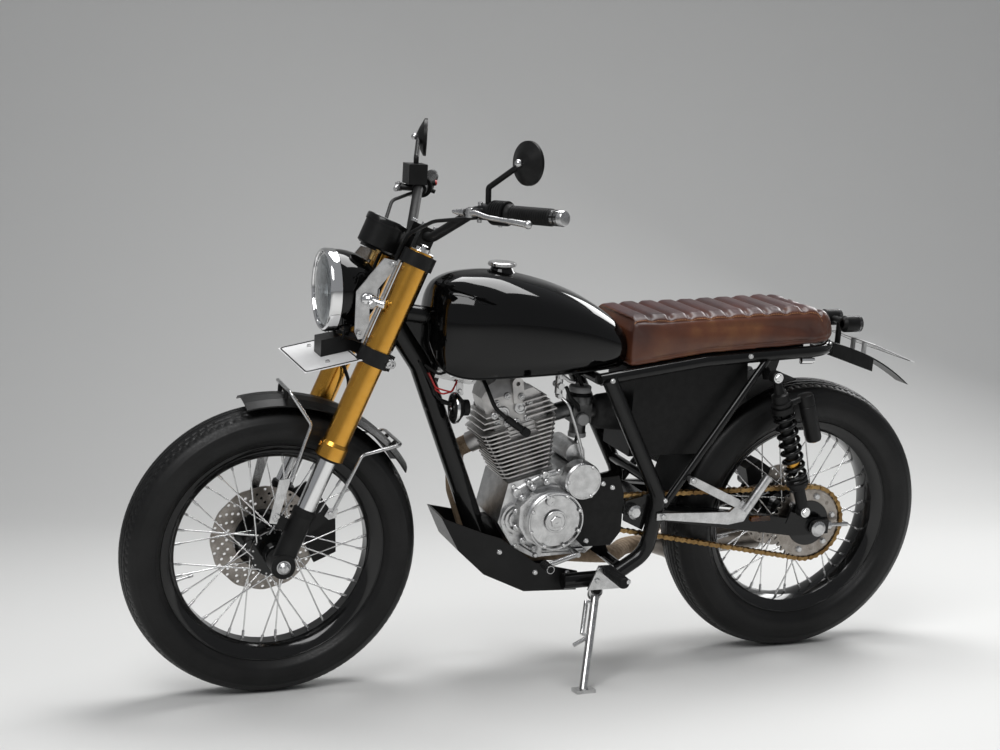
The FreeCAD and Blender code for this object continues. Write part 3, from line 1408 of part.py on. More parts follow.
def side_stand():
    """Leg with its eye, spring, tang and floor pad."""
    axis = stand_axis()
    half = STAND_EYE / 2
    eye = rod(STAND_PIVOT - axis * half, STAND_PIVOT + axis * half, 14)
    leg = rod(STAND_PIVOT, STAND_FOOT, STAND_R)
    down = (STAND_FOOT - STAND_PIVOT).normalize()
    ahead = down.cross(axis).normalize()
    if ahead.x > 0:
        ahead = ahead * -1
    hook = STAND_PIVOT + down * 26
    post = STAND_PIVOT + down * 104
    spring = rod(hook + ahead * 19, post + ahead * 19, 5)
    hooks = [rod(hook, hook + ahead * 19, 3.5), rod(post, post + ahead * 19, 3.5)]
    tang = rod(post, post + down * 30 + ahead * 34, 4.5)
    lean = FreeCAD.Rotation(V(1, 0, 0), LEAN)
    spot = lean.multVec(STAND_FOOT - V(0, 0, CROWN_R)) + V(0, 0, CROWN_R)
    pad = unleaned(Part.makeBox(44, 34, 8, V(spot.x - 22, spot.y - 20, 0)))
    trim = unleaned(Part.makeBox(200, 200, 100, V(spot.x - 100, spot.y - 100, -100)))
    body = fuse([eye, leg, pad, spring, tang] + hooks).cut(trim)
    return body.cut(rod(STAND_PIVOT - axis * 20, STAND_PIVOT + axis * 20, STAND_PIN_R + SEAT_GAP))


# Set down

ROOT = {
    "frame": frame, "swingarm": swingarm, "rear_axle": rear_axle_set, "chain": chain,
    "drive_sprocket": drive_sprocket, "rear_shocks": rear_shocks, "crankcase": crankcase,
    "cylinder": cylinder, "cylinder_head": cylinder_head, "engine_covers": engine_covers,
    "starter_motor": starter_motor, "sprocket_cover": sprocket_cover,
    "carburettor": carburettor, "air_filter": air_filter, "ignition_lead": ignition_lead,
    "exhaust_header": exhaust_header, "silencer": silencer, "skid_plate": skid_plate,
    "rider_footpegs": rider_footpegs,
    "passenger_footpegs": passenger_footpegs, "foot_levers": foot_levers,
    "fuel_tank": fuel_tank, "tank_fittings": tank_fittings, "seat": seat,
    "battery_box": battery_box, "rear_mudguards": rear_mudguards, "tail_lamps": tail_lamps,
    "rear_plate": rear_plate, "horn": horn, "rear_brake": rear_brake,
}
STEERED = {
    "fork_clamps": fork_clamps, "fork_tubes": gold_tubes, "fork_stanchions": stanchions,
    "fork_feet": fork_feet, "front_axle": front_axle, "front_fender": front_fender,
    "fender_stays": fender_stays, "headlamp": headlamp, "headlamp_lens": headlamp_lens,
    "headlamp_brackets": headlamp_brackets, "front_plate": front_plate,
    "speedometer": speedometer, "handlebar": handlebar, "grips": grips,
    "switchgear": switchgear, "levers": levers,
    "mirrors": mirrors, "front_brake": front_brake, "control_cables": control_cables,
}
FRONT_WHEEL = {
    "front_tyre": lambda: tyre(FRONT_AXLE, FRONT_TYRE_R, FRONT_TYRE_W, FRONT_RIM_W),
    "front_wire_wheel": front_wire_wheel,
    "front_disc": lambda: brake_disc(FRONT_AXLE, FRONT_DISC_R, DISC_BORE, DISC_Y),
}
REAR_WHEEL = {
    "rear_tyre": lambda: tyre(REAR_AXLE, REAR_TYRE_R, REAR_TYRE_W, REAR_RIM_W),
    "rear_wire_wheel": rear_wire_wheel,
    "rear_sprocket": driven_sprocket,
    "rear_disc": lambda: brake_disc(REAR_AXLE, REAR_DISC_R, REAR_DISC_BORE, REAR_DISC_Y),
}
STAND = {"side_stand": side_stand}


def lean_over(shape, shift):
    moved = shape.copy()
    moved.rotate(V(0, 0, CROWN_R), V(1, 0, 0), LEAN)
    moved.translate(shift)
    return moved


def build():
    """Every piece by name, leaned over, with the origin under the middle."""
    pieces = {}
    for group in (ROOT, STEERED, FRONT_WHEEL, REAR_WHEEL, STAND):
        for name, make in group.items():
            pieces[name] = make()
    leaned = {name: lean_over(shape, V(0, 0, 0)) for name, shape in pieces.items()}
    box = Part.makeCompound(list(leaned.values())).optimalBoundingBox(False, False)
    shift = V(-(box.XMin + box.XMax) / 2, -(box.YMin + box.YMax) / 2, 0)
    for shape in leaned.values():
        shape.translate(shift)
    return leaned, shift


def main():
    os.makedirs("parts", exist_ok=True)
    pieces, shift = build()
    for name, shape in pieces.items():
        shape.exportStep("parts/" + name + ".step")
    print("shift", shift, "pieces", len(pieces))


main()
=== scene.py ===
"""Looks of the cafe racer motorcycle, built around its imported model.

Lengths given in millimetres are in the upright bike's own coordinates:
x to the rear, y to the rider's right, z up, with the origin on the floor
half way between the axles. TO_WORLD turns them into the leaning frame.
"""
import json
from math import asin, atan2, cos, exp, hypot, pi, radians, sin, sqrt, tan

import bmesh
import bpy
from mathutils import Matrix, Vector
from mathutils.bvhtree import BVHTree
from mathutils.geometry import delaunay_2d_cdt


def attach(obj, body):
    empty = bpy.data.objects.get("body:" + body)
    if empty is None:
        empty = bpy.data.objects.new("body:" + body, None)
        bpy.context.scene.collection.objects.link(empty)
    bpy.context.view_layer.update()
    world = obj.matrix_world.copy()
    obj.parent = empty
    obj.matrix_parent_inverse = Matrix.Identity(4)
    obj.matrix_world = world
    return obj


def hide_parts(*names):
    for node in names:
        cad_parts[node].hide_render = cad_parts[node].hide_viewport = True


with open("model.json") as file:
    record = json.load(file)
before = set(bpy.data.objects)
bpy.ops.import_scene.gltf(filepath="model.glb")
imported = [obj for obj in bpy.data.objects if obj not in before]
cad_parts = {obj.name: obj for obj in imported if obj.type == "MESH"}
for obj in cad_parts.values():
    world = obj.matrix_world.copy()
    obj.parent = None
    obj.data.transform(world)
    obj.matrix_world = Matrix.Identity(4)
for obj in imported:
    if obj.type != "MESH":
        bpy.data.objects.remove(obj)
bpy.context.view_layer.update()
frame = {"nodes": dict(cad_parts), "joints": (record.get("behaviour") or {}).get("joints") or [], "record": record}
JOINTS = {joint["name"]: joint for joint in frame["joints"]}

# Stance
FRONT_AXLE = Vector((-650, 0, 324.5))
REAR_AXLE = Vector((650, 0, 340))
REAR_AXLE_WORLD = Vector(JOINTS["rear_wheel"]["pos_m"])
ACROSS = Vector(JOINTS["rear_wheel"]["axis"])
LEAN = Matrix.Rotation(atan2(ACROSS.z, ACROSS.y), 4, "X")
TO_METRES = Matrix.Scale(0.001, 4)
TO_WORLD = Matrix.Translation(REAR_AXLE_WORLD) @ LEAN @ TO_METRES @ Matrix.Translation(-REAR_AXLE)
TO_UPRIGHT = TO_WORLD.inverted()
CHASSIS, FORK, FRONT, REAR, STAND = "chassis", "fork", "front_wheel", "rear_wheel", "stand"

# Sizes shared with the solids
RAKE = radians(22.5)
CYL_TILT = radians(15)
CRANK = Vector((-50, 0, 402))
RIM_R = 238.0
RIM_WELL = 213.0
CROWN_R = 55.0
LEG_Y = 102.0
LAMP = Vector((-555, 0, 896))
CHAIN_Y = -86.0
PITCH = 15.875
DRIVE = Vector((95, 0, 397))
FRONT_TEETH = 14
REAR_TEETH = 36
SHOCK_TOP = Vector((489, 141, 717))
SHOCK_FOOT = Vector((600, 141, 388))
SIDES = (-1, 1)
UP, BACK, RIGHT = Vector((0, 0, 1)), Vector((1, 0, 0)), Vector((0, 1, 0))

# Limits of the mesh helpers
LEAST_R = 0.02
NEARLY_STRAIGHT = 1.55
FAR_OUT = 500.0
BEVEL_ANGLE = radians(40)


def leaning(origin, angle, back, right, up):
    """Upright point of one given along and across a line that leans by angle."""
    return origin + Vector((back * cos(angle) + up * sin(angle), right, up * cos(angle) - back * sin(angle)))


def on_fork(back, right, up):
    """Upright point of one given back from, right of and up along the legs."""
    return leaning(FRONT_AXLE, RAKE, back, right, up)


def on_cylinder(back, right, up):
    """Upright point of one given in the leaning cylinder's coordinates."""
    return leaning(CRANK, -CYL_TILT, back, right, up)


def side_view(x, z, y):
    return Vector((x, y, z))


def around(angle):
    """Way out from a wheel's axle at an angle above the level."""
    return Vector((cos(angle), 0, sin(angle)))


def turns(count):
    return [2 * pi * k / count for k in range(count)]


def mirrored(point, side):
    return Vector((point.x, side * point.y, point.z))


LEG = (on_fork(0, 0, 1) - FRONT_AXLE).normalized()
BEHIND_LEG = (on_fork(1, 0, 0) - FRONT_AXLE).normalized()
CYLINDER = (on_cylinder(0, 0, 1) - CRANK).normalized()


# Mesh building

class Shape:
    """Mesh gathered from simple forms, in upright millimetres."""

    def __init__(self):
        self.points = []
        self.faces = []

    def add(self, points, faces):
        first = len(self.points)
        self.points += [Vector(point) for point in points]
        self.faces += [[first + index for index in face] for face in faces]

    def grid(self, rows, closed=False, looped=False, capped=False):
        """Quads between rows of points; looped joins the last row to the first, capped fills both."""
        wide = len(rows[0])
        faces = []
        for i in range(len(rows) - (0 if looped else 1)):
            here, after = i * wide, (i + 1) % len(rows) * wide
            for j in range(wide - (0 if closed else 1)):
                k = (j + 1) % wide
                faces.append((here + j, here + k, after + k, after + j))
        if capped:
            last = (len(rows) - 1) * wide
            faces += [range(wide), range(last, last + wide)]
        self.add([point for row in rows for point in row], faces)

    def turned(self, profile, centre, axis, count=40, looped=False):
        """Profile of (along the axis, radius) turned round it."""
        axis = Vector(axis).normalized()
        out = axis.orthogonal().normalized()
        side = axis.cross(out)
        rows = [[Vector(centre) + axis * along + (out * cos(a) + side * sin(a)) * max(radius, LEAST_R)
                 for a in turns(count)] for along, radius in profile]
        self.grid(rows, closed=True, looped=looped, capped=not looped)

    def pipe(self, route, radius, count=12, looped=False):
        """Round rod along a route; radius may be a function of 0 to 1 along it."""
        size = radius if callable(radius) else lambda share: radius
        route = [Vector(point) for point in route]
        last = len(route) - 1
        out = None
        rows = []
        for i, point in enumerate(route):
            before = route[i - 1] if looped or i else point
            after = route[(i + 1) % len(route)] if looped or i < last else point
            way = (after - before).normalized()
            out = out or way.orthogonal().normalized()
            out = (out - way * out.dot(way)).normalized()
            side = way.cross(out)
            rows.append([point + (out * cos(a) + side * sin(a)) * size(i / last) for a in turns(count)])
        self.grid(rows, closed=True, looped=looped, capped=not looped)

    def prism(self, outline, low, high):
        """Side-view outline, as thick as from low to high."""
        self.grid([[side_view(x, z, y) for x, z in outline] for y in (low, high)], closed=True, capped=True)

    def punched(self, outline, holes, low, high, steps=14):
        """Side-view outline with round holes (x, z, radius), as thick as from low to high."""
        loops = [list(outline)]
        loops += [ring(u, v, radius, steps if radius < 20 else 64) for u, v, radius in holes]
        flat, edges = [], []
        for loop in loops:
            first = len(flat)
            flat += [Vector(point) for point in loop]
            edges += [(first + i, first + (i + 1) % len(loop)) for i in range(len(loop))]
        spots, _, faces, _, _, _ = delaunay_2d_cdt(flat, edges, [list(range(len(outline)))], 1, 1e-5)
        kept = []
        for face in faces:
            middle = sum((spots[i] for i in face), Vector((0, 0))) / len(face)
            if all((middle - Vector((u, v))).length > radius for u, v, radius in holes):
                kept.append(face)
        points = [side_view(spot.x, spot.y, w) for w in (low, high) for spot in spots]
        self.add(points, kept + [[i + len(spots) for i in face[::-1]] for face in kept])
        for loop in loops:
            self.grid([[side_view(u, v, w) for u, v in loop] for w in (low, high)], closed=True)

    def ball(self, centre, radius, count=14):
        arc = [pi * k / (count // 2) for k in range(count // 2 + 1)]
        self.turned([(-radius * cos(a), radius * sin(a)) for a in arc], centre, UP, count)

    def bolt(self, at, axis, size=8.0):
        """Chamfered hexagon head on its washer; size is the thread's diameter."""
        radius, top = size * 0.92, 1.4 + size * 0.62
        self.turned([(-0.5, size), (1.2, size), (1.6, size - 0.5)], at, axis, 20)
        self.turned([(1.1, radius), (top - size * 0.1116, radius), (top, size * 0.76)], at, axis, 6)

    def socket(self, at, axis, size=8.0):
        """Round head with a hexagon socket."""
        radius, well = size * 0.82, size * 0.45
        self.turned([(-0.5, radius), (size * 0.85, radius), (size, radius - 0.8), (size, well),
                     (well, well), (well, 0)], at, axis, 18)

    def piece(self, name, slot, body, stands_for=(), sharp=35, finish=None):
        """Object in the leaning frame that rides on its body."""
        mesh = bpy.data.meshes.new(name)
        mesh.from_pydata([TO_WORLD @ point for point in self.points], [], self.faces)
        work = bmesh.new()
        work.from_mesh(mesh)
        bmesh.ops.recalc_face_normals(work, faces=work.faces)
        work.to_mesh(mesh)
        work.free()
        mesh.materials.append(MATERIALS[finish or slot])
        shade_smooth(mesh)
        mesh.set_sharp_from_angle(angle=radians(sharp))
        thing = bpy.data.objects.new(name, mesh)
        bpy.context.scene.collection.objects.link(thing)
        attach(thing, body)
        if stands_for:
            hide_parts(*stands_for)
        return thing


def shade_smooth(mesh):
    mesh.polygons.foreach_set("use_smooth", [True] * len(mesh.polygons))


def polar(u, v, radius, degrees):
    return (u + radius * cos(radians(degrees)), v + radius * sin(radians(degrees)))


def arc(u, v, radius, first, step, count):
    """Points on a circle at first degrees and count - 1 steps on."""
    return [polar(u, v, radius, first + step * k) for k in range(count)]


def ring(u, v, radius, count=40, first=0.0):
    """Points spaced evenly on a circle, from first degrees on."""
    return arc(u, v, radius, first, 360 / count, count)


def rounded(route, bend, steps=7):
    """Route with its corners turned into arcs."""
    route = [Vector(point) for point in route]
    path = [route[0]]
    for before, corner, after in zip(route, route[1:], route[2:]):
        way_in, way_out = (before - corner), (after - corner)
        room = 0.48 * min(way_in.length, way_out.length)
        way_in, way_out = way_in.normalized(), way_out.normalized()
        half = way_in.angle(way_out) / 2
        if half > NEARLY_STRAIGHT:
            path.append(corner)
            continue
        back = min(bend / tan(half), room)
        radius = back * tan(half)
        middle = corner + (way_in + way_out).normalized() * radius / sin(half)
        first = (corner + way_in * back - middle).normalized()
        last = (corner + way_out * back - middle).normalized()
        path += [middle + first.slerp(last, k / steps) * radius for k in range(steps + 1)]
    return path + [route[-1]]


def soft_line(points, steps=6):
    """Smooth curve through points of a few numbers each."""
    padded = [points[0]] + list(points) + [points[-1]]
    curve = []
    for a, b, c, d in zip(padded, padded[1:], padded[2:], padded[3:]):
        for k in range(steps):
            t = k / steps
            curve.append(tuple(0.5 * (2 * q + (r - p) * t + (2 * p - 5 * q + 4 * r - s) * t * t
                                      + (3 * q - p - 3 * r + s) * t ** 3)
                               for p, q, r, s in zip(a, b, c, d)))
    return curve + [tuple(points[-1])]


def surface_tree(mesh, to_upright):
    return BVHTree.FromPolygons([to_upright @ vertex.co for vertex in mesh.vertices],
                                [list(face.vertices) for face in mesh.polygons])


SKINS = {}


def skin(node, x, z, side):
    """Distance from the middle plane to a node's outer face, seen from the side."""
    if node not in SKINS:
        thing = frame["nodes"][node]
        SKINS[node] = surface_tree(thing.data, TO_UPRIGHT @ thing.matrix_world)
    spot = SKINS[node].ray_cast(Vector((x, side * FAR_OUT, z)), RIGHT * -side)[0]
    return spot.y if spot else None


def seats(node, spots, sides=SIDES, least=-FAR_OUT):
    """Points on a node's outer faces at each (x, z), with the way out of the face."""
    for x, z in spots:
        for side in sides:
            face = skin(node, x, z, side)
            if face and face * side > least:
                yield Vector((x, face, z)), RIGHT * side


def level(points, x):
    """Height of a line of (x, z) at x."""
    for (x0, z0), (x1, z1) in zip(points, points[1:]):
        if x <= x1:
            return z0 + (z1 - z0) * max(0.0, x - x0) / (x1 - x0)
    return points[-1][1]


# Materials

BUMP_HEIGHT = 0.0004


class Paint:
    """Material with short calls that add and link its nodes."""

    def __init__(self, name, **values):
        self.material = bpy.data.materials.new(name)
        self.material.use_nodes = True
        self.nodes = self.material.node_tree.nodes
        self.link = self.material.node_tree.links.new
        self.bsdf = self.fill(self.nodes["Principled BSDF"], values)

    def fill(self, node, values):
        for name, value in values.items():
            node.inputs[name.replace("_", " ")].default_value = value
        return node

    def node(self, kind, **values):
        return self.fill(self.nodes.new("ShaderNode" + kind), values)

    def placed(self, kind, **values):
        """Node that reads the object's own metres."""
        node = self.node(kind, **values)
        self.link(self.node("TexCoord").outputs["Object"], node.inputs["Vector"])
        return node

    def noise(self, scale, detail=4.0, stretch=(1, 1, 1)):
        mapping = self.placed("Mapping", Scale=stretch)
        texture = self.node("TexNoise", Scale=scale, Detail=detail)
        self.link(mapping.outputs["Vector"], texture.inputs["Vector"])
        return texture.outputs["Fac"]

    def ramp(self, source, *stops):
        """Colour ramp; stops are (place, colour or grey)."""
        node = self.node("ValToRGB")
        while len(node.color_ramp.elements) < len(stops):
            node.color_ramp.elements.new(0.5)
        for element, (spot, value) in zip(node.color_ramp.elements, stops):
            element.position = spot
            element.color = (*(value if isinstance(value, tuple) else (value, value, value)), 1)
        self.link(source, node.inputs["Fac"])
        return node.outputs["Color"]

    def feed(self, name, source):
        self.link(source, self.bsdf.inputs[name])

    def bump(self, height, strength, distance):
        node = self.node("Bump", Strength=strength, Distance=distance)
        self.link(height, node.inputs["Height"])
        self.feed("Normal", node.outputs["Normal"])


def surface(name, dark, light, rough, metal=0.0, grain=120.0, coat=0.0, lumps=0.1, spread=0.06,
            stretch=(1, 1, 1), specular=0.5):
    """Finish with a mottled colour, uneven gloss and a fine bump; a plain number is a grey."""
    paint = Paint(name, Metallic=metal, Coat_Weight=coat, Coat_Roughness=0.05, Specular_IOR_Level=specular)
    fine = paint.noise(grain, 5, stretch)
    paint.feed("Base Color", paint.ramp(paint.noise(grain / 14), (0.35, dark), (0.65, light)))
    gloss = (0.3, max(0.0, rough - spread)), (0.7, min(1.0, rough + spread))
    paint.feed("Roughness", paint.ramp(fine, *gloss))
    if lumps:
        paint.bump(fine, lumps, BUMP_HEIGHT)
    return paint.material


def grey(value, warm):
    return (value * (1 + warm), value, value * (1 - warm))


def leather():
    """Waxed leather with a pebbled grain and mottled colour; the facing picks the colour, with painted shade
    making the top a darker burgundy and painted light making the sides browner.
    """
    paint = Paint("brown_leather")
    wide = paint.noise(9, 5)
    # Painted light and shade: the darker burgundy goes on faces that look up, the lighter brown on faces that look
    # sideways.
    top = paint.ramp(wide, (0.3, (0.018, 0.0045, 0.005)), (0.7, (0.05, 0.012, 0.011)))
    sides = paint.ramp(wide, (0.3, (0.045, 0.013, 0.007)), (0.55, (0.095, 0.03, 0.013)),
                       (0.75, (0.17, 0.075, 0.026)))
    parts = paint.node("SeparateXYZ")
    paint.link(paint.node("NewGeometry").outputs["Normal"], parts.inputs["Vector"])
    both = paint.node("Mix")
    both.data_type = "RGBA"
    # Mask of the painted shade: faces that look up take the darker top colour.
    painted_shade_on_top_mask = paint.ramp(parts.outputs["Z"], (0.45, 0.0), (0.8, 1.0))
    for source, name in ((painted_shade_on_top_mask, "Factor"), (sides, "A"), (top, "B")):
        paint.link(source, both.inputs[name])
    paint.feed("Base Color", both.outputs["Result"])
    paint.bump(paint.placed("TexVoronoi", Scale=420).outputs["Distance"], 0.3, 0.0005)
    paint.feed("Roughness", paint.ramp(wide, (0.3, 0.44), (0.7, 0.33)))
    return paint.material


def header_wrap():
    """Woven heat wrap: diagonal bands with a weave across them."""
    paint = Paint("woven_wrap", Roughness=0.88)
    bands = paint.placed("TexWave", Scale=28, Distortion=1.5)
    bands.bands_direction = "DIAGONAL"
    fine = paint.noise(500)
    paint.feed("Base Color", paint.ramp(fine, (0.3, (0.13, 0.085, 0.05)), (0.7, (0.36, 0.27, 0.18))))
    mixed = paint.node("Math")
    mixed.operation = "ADD"
    paint.link(bands.outputs["Fac"], mixed.inputs[0])
    paint.link(fine, mixed.inputs[1])
    paint.bump(mixed.outputs["Value"], 0.8, 0.0012)
    return paint.material


def glass(name, tint, rough=0.03):
    return Paint(name, Transmission_Weight=1.0, Roughness=rough, Base_Color=(*tint, 1), IOR=1.45).material


GOLD = (0.62, 0.31, 0.045), (0.66, 0.34, 0.055)

# Dark and light colour, roughness, metal, grain, coat, lumps and spread of each finish
MATERIALS = {
    "black_frame": surface("black_enamel", 0.003, 0.005, 0.2, 0, 60, 0.25, 0.03, specular=0.2),
    "black_metal": surface("satin_black", 0.004, 0.008, 0.36, 0, 240, 0, 0.1, specular=0.22),
    "tank_black": surface("tank_paint", 0.001, 0.002, 0.05, 0, 30, 0.45, 0, 0.01, specular=0.12),
    "bright_steel": surface("brushed_steel", 0.46, 0.6, 0.26, 1, 700, 0, 0.04, 0.05),
    "dark_steel": surface("heat_dark_steel", grey(0.16, 0.12), grey(0.3, 0.1), 0.34, 1, 160),
    "chrome": surface("chrome", 0.74, 0.82, 0.06, 1, 60, 0, 0, 0.02),
    "cast_aluminium": surface("cast_aluminium", 0.46, 0.62, 0.3, 1, 700, 0, 0.16),
    "bare_fins": surface("bare_fins", grey(0.4, 0.02), grey(0.54, 0.02), 0.4, 1, 600, 0, 0.25),
    "gold_tube": surface("gold_anodised", *GOLD, 0.25, 1, 900, 0.2, 0.015, 0.02, stretch=(1, 1, 0.1)),
    "gold_chain": surface("oiled_gold", (0.17, 0.1, 0.04), (0.34, 0.22, 0.09), 0.34, 1, 300),
    "black_plastic": surface("grained_plastic", 0.0035, 0.007, 0.4, 0, 900, 0, 0.12, specular=0.2),
    "plate_white": surface("plate_white", 0.7, 0.78, 0.35, 0, 80, 0.2, 0.02),
    "filter_fabric": surface("filter_fabric", 0.012, 0.03, 0.8, 0, 500, 0, 0.5, specular=0.2),
    "black_rubber": surface("black_rubber", 0.004, 0.008, 0.55, 0, 400, 0, 0.2, specular=0.2),
    "tyre": surface("tyre_rubber", 0.0035, 0.007, 0.45, 0, 220, 0, 0.12, 0.1, specular=0.28),
    "black_rim": surface("rim_black", 0.003, 0.005, 0.16, 0, 60, 0.4, 0.02, specular=0.25),
    "satin_white": surface("satin_white", 0.6, 0.66, 0.45, 0, 80, 0, 0.05),
    "red_wire": surface("red_wire", (0.35, 0.01, 0.01), (0.45, 0.02, 0.015), 0.4, 0, 200, 0, 0),
    "grey_plastic": surface("grey_plastic", 0.2, 0.26, 0.4, 0, 300),
    "worn_disc": surface("worn_disc", grey(0.2, 0.12), grey(0.34, 0.08), 0.3, 1, 500, 0, 0.08),
    "dark_cast": surface("dark_cast", 0.07, 0.15, 0.42, 1, 500, 0, 0.3),
    "brass": surface("brass", (0.6, 0.38, 0.12), (0.7, 0.48, 0.2), 0.28, 1, 200, 0, 0.05),
    "dial": surface("dial", 0.01, 0.016, 0.5, 0, 90, 0, 0.02),
    "thread": surface("thread", (0.3, 0.14, 0.06), (0.42, 0.2, 0.09), 0.7, 0, 900, 0, 0.3),
    "dark_mirror": surface("dark_mirror", 0.2, 0.34, 0.12, 1, 40, 0, 0, 0.03),
    "mirror_face": surface("mirror_face", 0.86, 0.88, 0.015, 1, 20, 0, 0, 0.004),
    "brown_leather": leather(),
    "wrapped_header": header_wrap(),
    "lens_glass": glass("lens_glass", (0.95, 0.97, 0.98)),
    "amber_lens": glass("amber_lens", (0.9, 0.3, 0.03), 0.15),
    "red_lens": glass("red_lens", (0.5, 0.01, 0.01), 0.15),
}
FINISHES = {"starter_motor": "cast_aluminium", "carburettor": "dark_cast", "handlebar": "black_rubber"}
CUT_EDGES = ["crankcase", "skid_plate", "battery_box", "sprocket_cover", "front_brake", "rear_brake",
             "rear_mudguards", "front_fender", "switchgear", "fork_clamps", "passenger_footpegs",
             "side_stand"]
CUT_EDGE = 0.0011


def dress_nodes():
    """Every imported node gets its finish, and flat castings a broken edge."""
    for part in frame["record"]["subparts"]:
        node = frame["nodes"][part["node"]]
        node.data.materials.clear()
        node.data.materials.append(MATERIALS[FINISHES.get(part["node"], part["material_slot"])])
    for name in CUT_EDGES:
        edge = frame["nodes"][name].modifiers.new("edge", "BEVEL")
        edge.width = CUT_EDGE
        edge.segments = 2
        edge.angle_limit = BEVEL_ANGLE


# Wheels

# Body and axle, then the tyre's radius, half width, bead and steps, then the hub's radius, width and bore
WHEELS = {"front": (FRONT, FRONT_AXLE, (324.5, 60.0, 38.0, 560), (52, 72, 10)),
          "rear": (REAR, REAR_AXLE, (340.0, 71.0, 46.0, 600), (62, 84, 11))}
TREAD_DEPTH = 3.0
BLOCKS = 110
GROOVES = [(0, 0, 1.8), (11, 0, 1.6), (22, 0.4, 1.8), (33, 1, 1.9)]


def tread(y, angle):
    """Depth below the crown of the grooves that run round it and of the cuts at its shoulders."""
    step = (angle * BLOCKS / (2 * pi)) % 1
    zigzag = 2.2 * (abs(step * 2 - 1) * 2 - 1)
    away = abs(y)
    if any(abs(away - middle - share * zigzag) < half for middle, share, half in GROOVES):
        return TREAD_DEPTH
    if 36 + zigzag < away < 45 and step < 0.2:
        return TREAD_DEPTH * 0.6
    return 0.0


def tyre(name, body, axle, outer, half, bead, count):
    """Tyre with a grooved crown, a plain flank, and rings at the tread's edge and the bead."""
    height = outer - RIM_R
    crown = arc(0, outer - CROWN_R, CROWN_R, 90, -6, 4)
    wall = [(wide * half, outer - down * height)
            for wide, down in ((0.7, 0.13), (0.9, 0.28), (0.985, 0.45), (1, 0.6), (0.93, 0.78))]
    right = soft_line(crown + wall + [(bead + 4, RIM_R + 7), (bead, RIM_R + 1)], 5)
    dense = []
    for (y0, r0), (y1, r1) in zip(right, right[1:]):
        parts = max(1, round(hypot(y1 - y0, r1 - r0) / (1.5 if y0 < 52 and r0 > outer - 32 else 4)))
        dense += [(y0 + (y1 - y0) * k / parts, r0 + (r1 - r0) * k / parts) for k in range(parts)]
    edge = outer - 0.34 * height
    profile = [(y + 1.3 * exp(-((r - edge) / 1.6) ** 2) + 1.6 * exp(-((r - RIM_R - 9) / 2.2) ** 2), r)
               for y, r in dense + [right[-1]]]
    whole = [(-y, r) for y, r in profile[:0:-1]] + profile
    shape = Shape()
    shape.grid([[axle + around(a) * (r - (tread(y, a) if r > edge + 3 else 0)) + RIGHT * y for y, r in whole]
                for a in turns(count)], looped=True)
    shape.piece(name + "_tyre_tread", "tyre", body, [name + "_tyre"], sharp=50)


def rim(name, body, axle, bead):
    """Black rim with rolled edges, and a valve on the left."""
    shape, edges, valve = Shape(), Shape(), Shape()
    outside = [(bead + 3, 243), (bead + 1, 236), (bead - 5, 226), (bead - 13, 218), (16, 212)]
    inside = [(bead, 243), (bead - 6, 230), (14, 220)]
    barrel = outside + [(-y, r) for y, r in outside[::-1] + inside] + inside[::-1]
    shape.turned(barrel, axle, RIGHT, 144, looped=True)
    shape.piece(name + "_rim", "black_rim", body, sharp=24)
    for side in SIDES:
        edges.turned(ring(side * (bead + 3), 242.6, 1.7, 8), axle, RIGHT, 144, looped=True)
    edges.piece(name + "_rim_edge", "black_rim", body, sharp=60)
    valve.turned([(-216, 5), (-210, 5), (-209, 3.2), (-186, 3.2), (-185, 4.2), (-176, 4.2), (-175, 3)],
                 axle + RIGHT * -6, -around(radians(196)), 12)
    valve.piece(name + "_valve", "black_rim", body, finish="bright_steel")


def spokes(name, body, axle, hub_r, hub_w):
    """Laced spokes with bent heads in the hub and nipples in the rim."""
    wires, nipples = Shape(), Shape()
    for side in SIDES:
        for pair in range(9):
            base = 2 * pi * (pair + 0.125 * side) / 9
            for lean in SIDES:
                start = axle + around(base + lean * radians(30)) * (hub_r - 5)
                start += RIGHT * side * (hub_w / 2 - 4 + 4.5 * lean)
                end = axle + around(base - lean * radians(10)) * RIM_WELL + RIGHT * side * (7 + 3 * lean)
                way = (end - start).normalized()
                wires.pipe([start - RIGHT * side * lean * 5, start, start + way * 6, end], 1.7, 8)
                nipples.turned([(-18, 2.4), (-16, 3.1), (-2, 3.1), (3, 3.6)], end, way, 8)
    wires.piece(name + "_spokes", "black_rim", body, sharp=50, finish="chrome")
    nipples.piece(name + "_nipples", "black_rim", body, sharp=50, finish="bright_steel")


def hub(name, body, axle, hub_r, hub_w, bore):
    """Waisted barrel between two drilled flanges."""
    half = hub_w / 2
    shape, heads = Shape(), Shape()
    barrel = [(-half - 14, bore), (-half - 14, bore + 11), (-half - 13, bore + 12), (-half, bore + 16),
              (-half, hub_r - 1), (-half + 1, hub_r), (-half + 7, hub_r), (-half + 8, hub_r - 1),
              (-half + 12, hub_r * 0.72), (-half + 20, hub_r * 0.6)]
    shape.turned(barrel + [(-a, r) for a, r in barrel[::-1]], axle, RIGHT, 56, looped=True)
    shape.piece(name + "_hub", "black_rim", body, sharp=25)
    for side in SIDES:
        for x, z in ring(axle.x, axle.z, hub_r - 5, 18, 10):
            heads.turned([(0, 2.6), (1.6, 2.2)], (x, side * (half - 0.4), z), RIGHT * side, 8)
        heads.turned([(0, 13), (2, 13), (2, bore + 1), (0, bore + 1)], axle + RIGHT * side * (half + 13.4),
                     RIGHT * side, 28, looped=True)
    heads.piece(name + "_spoke_heads", "black_rim", body, finish="bright_steel")


def carrier(shape, axle, root, face, bore):
    """Cone that carries a disc or sprocket."""
    shape.turned([(root, 26), (root, 44), (face, bore + 8), (face, bore - 4)], axle, RIGHT, 48, looped=True)


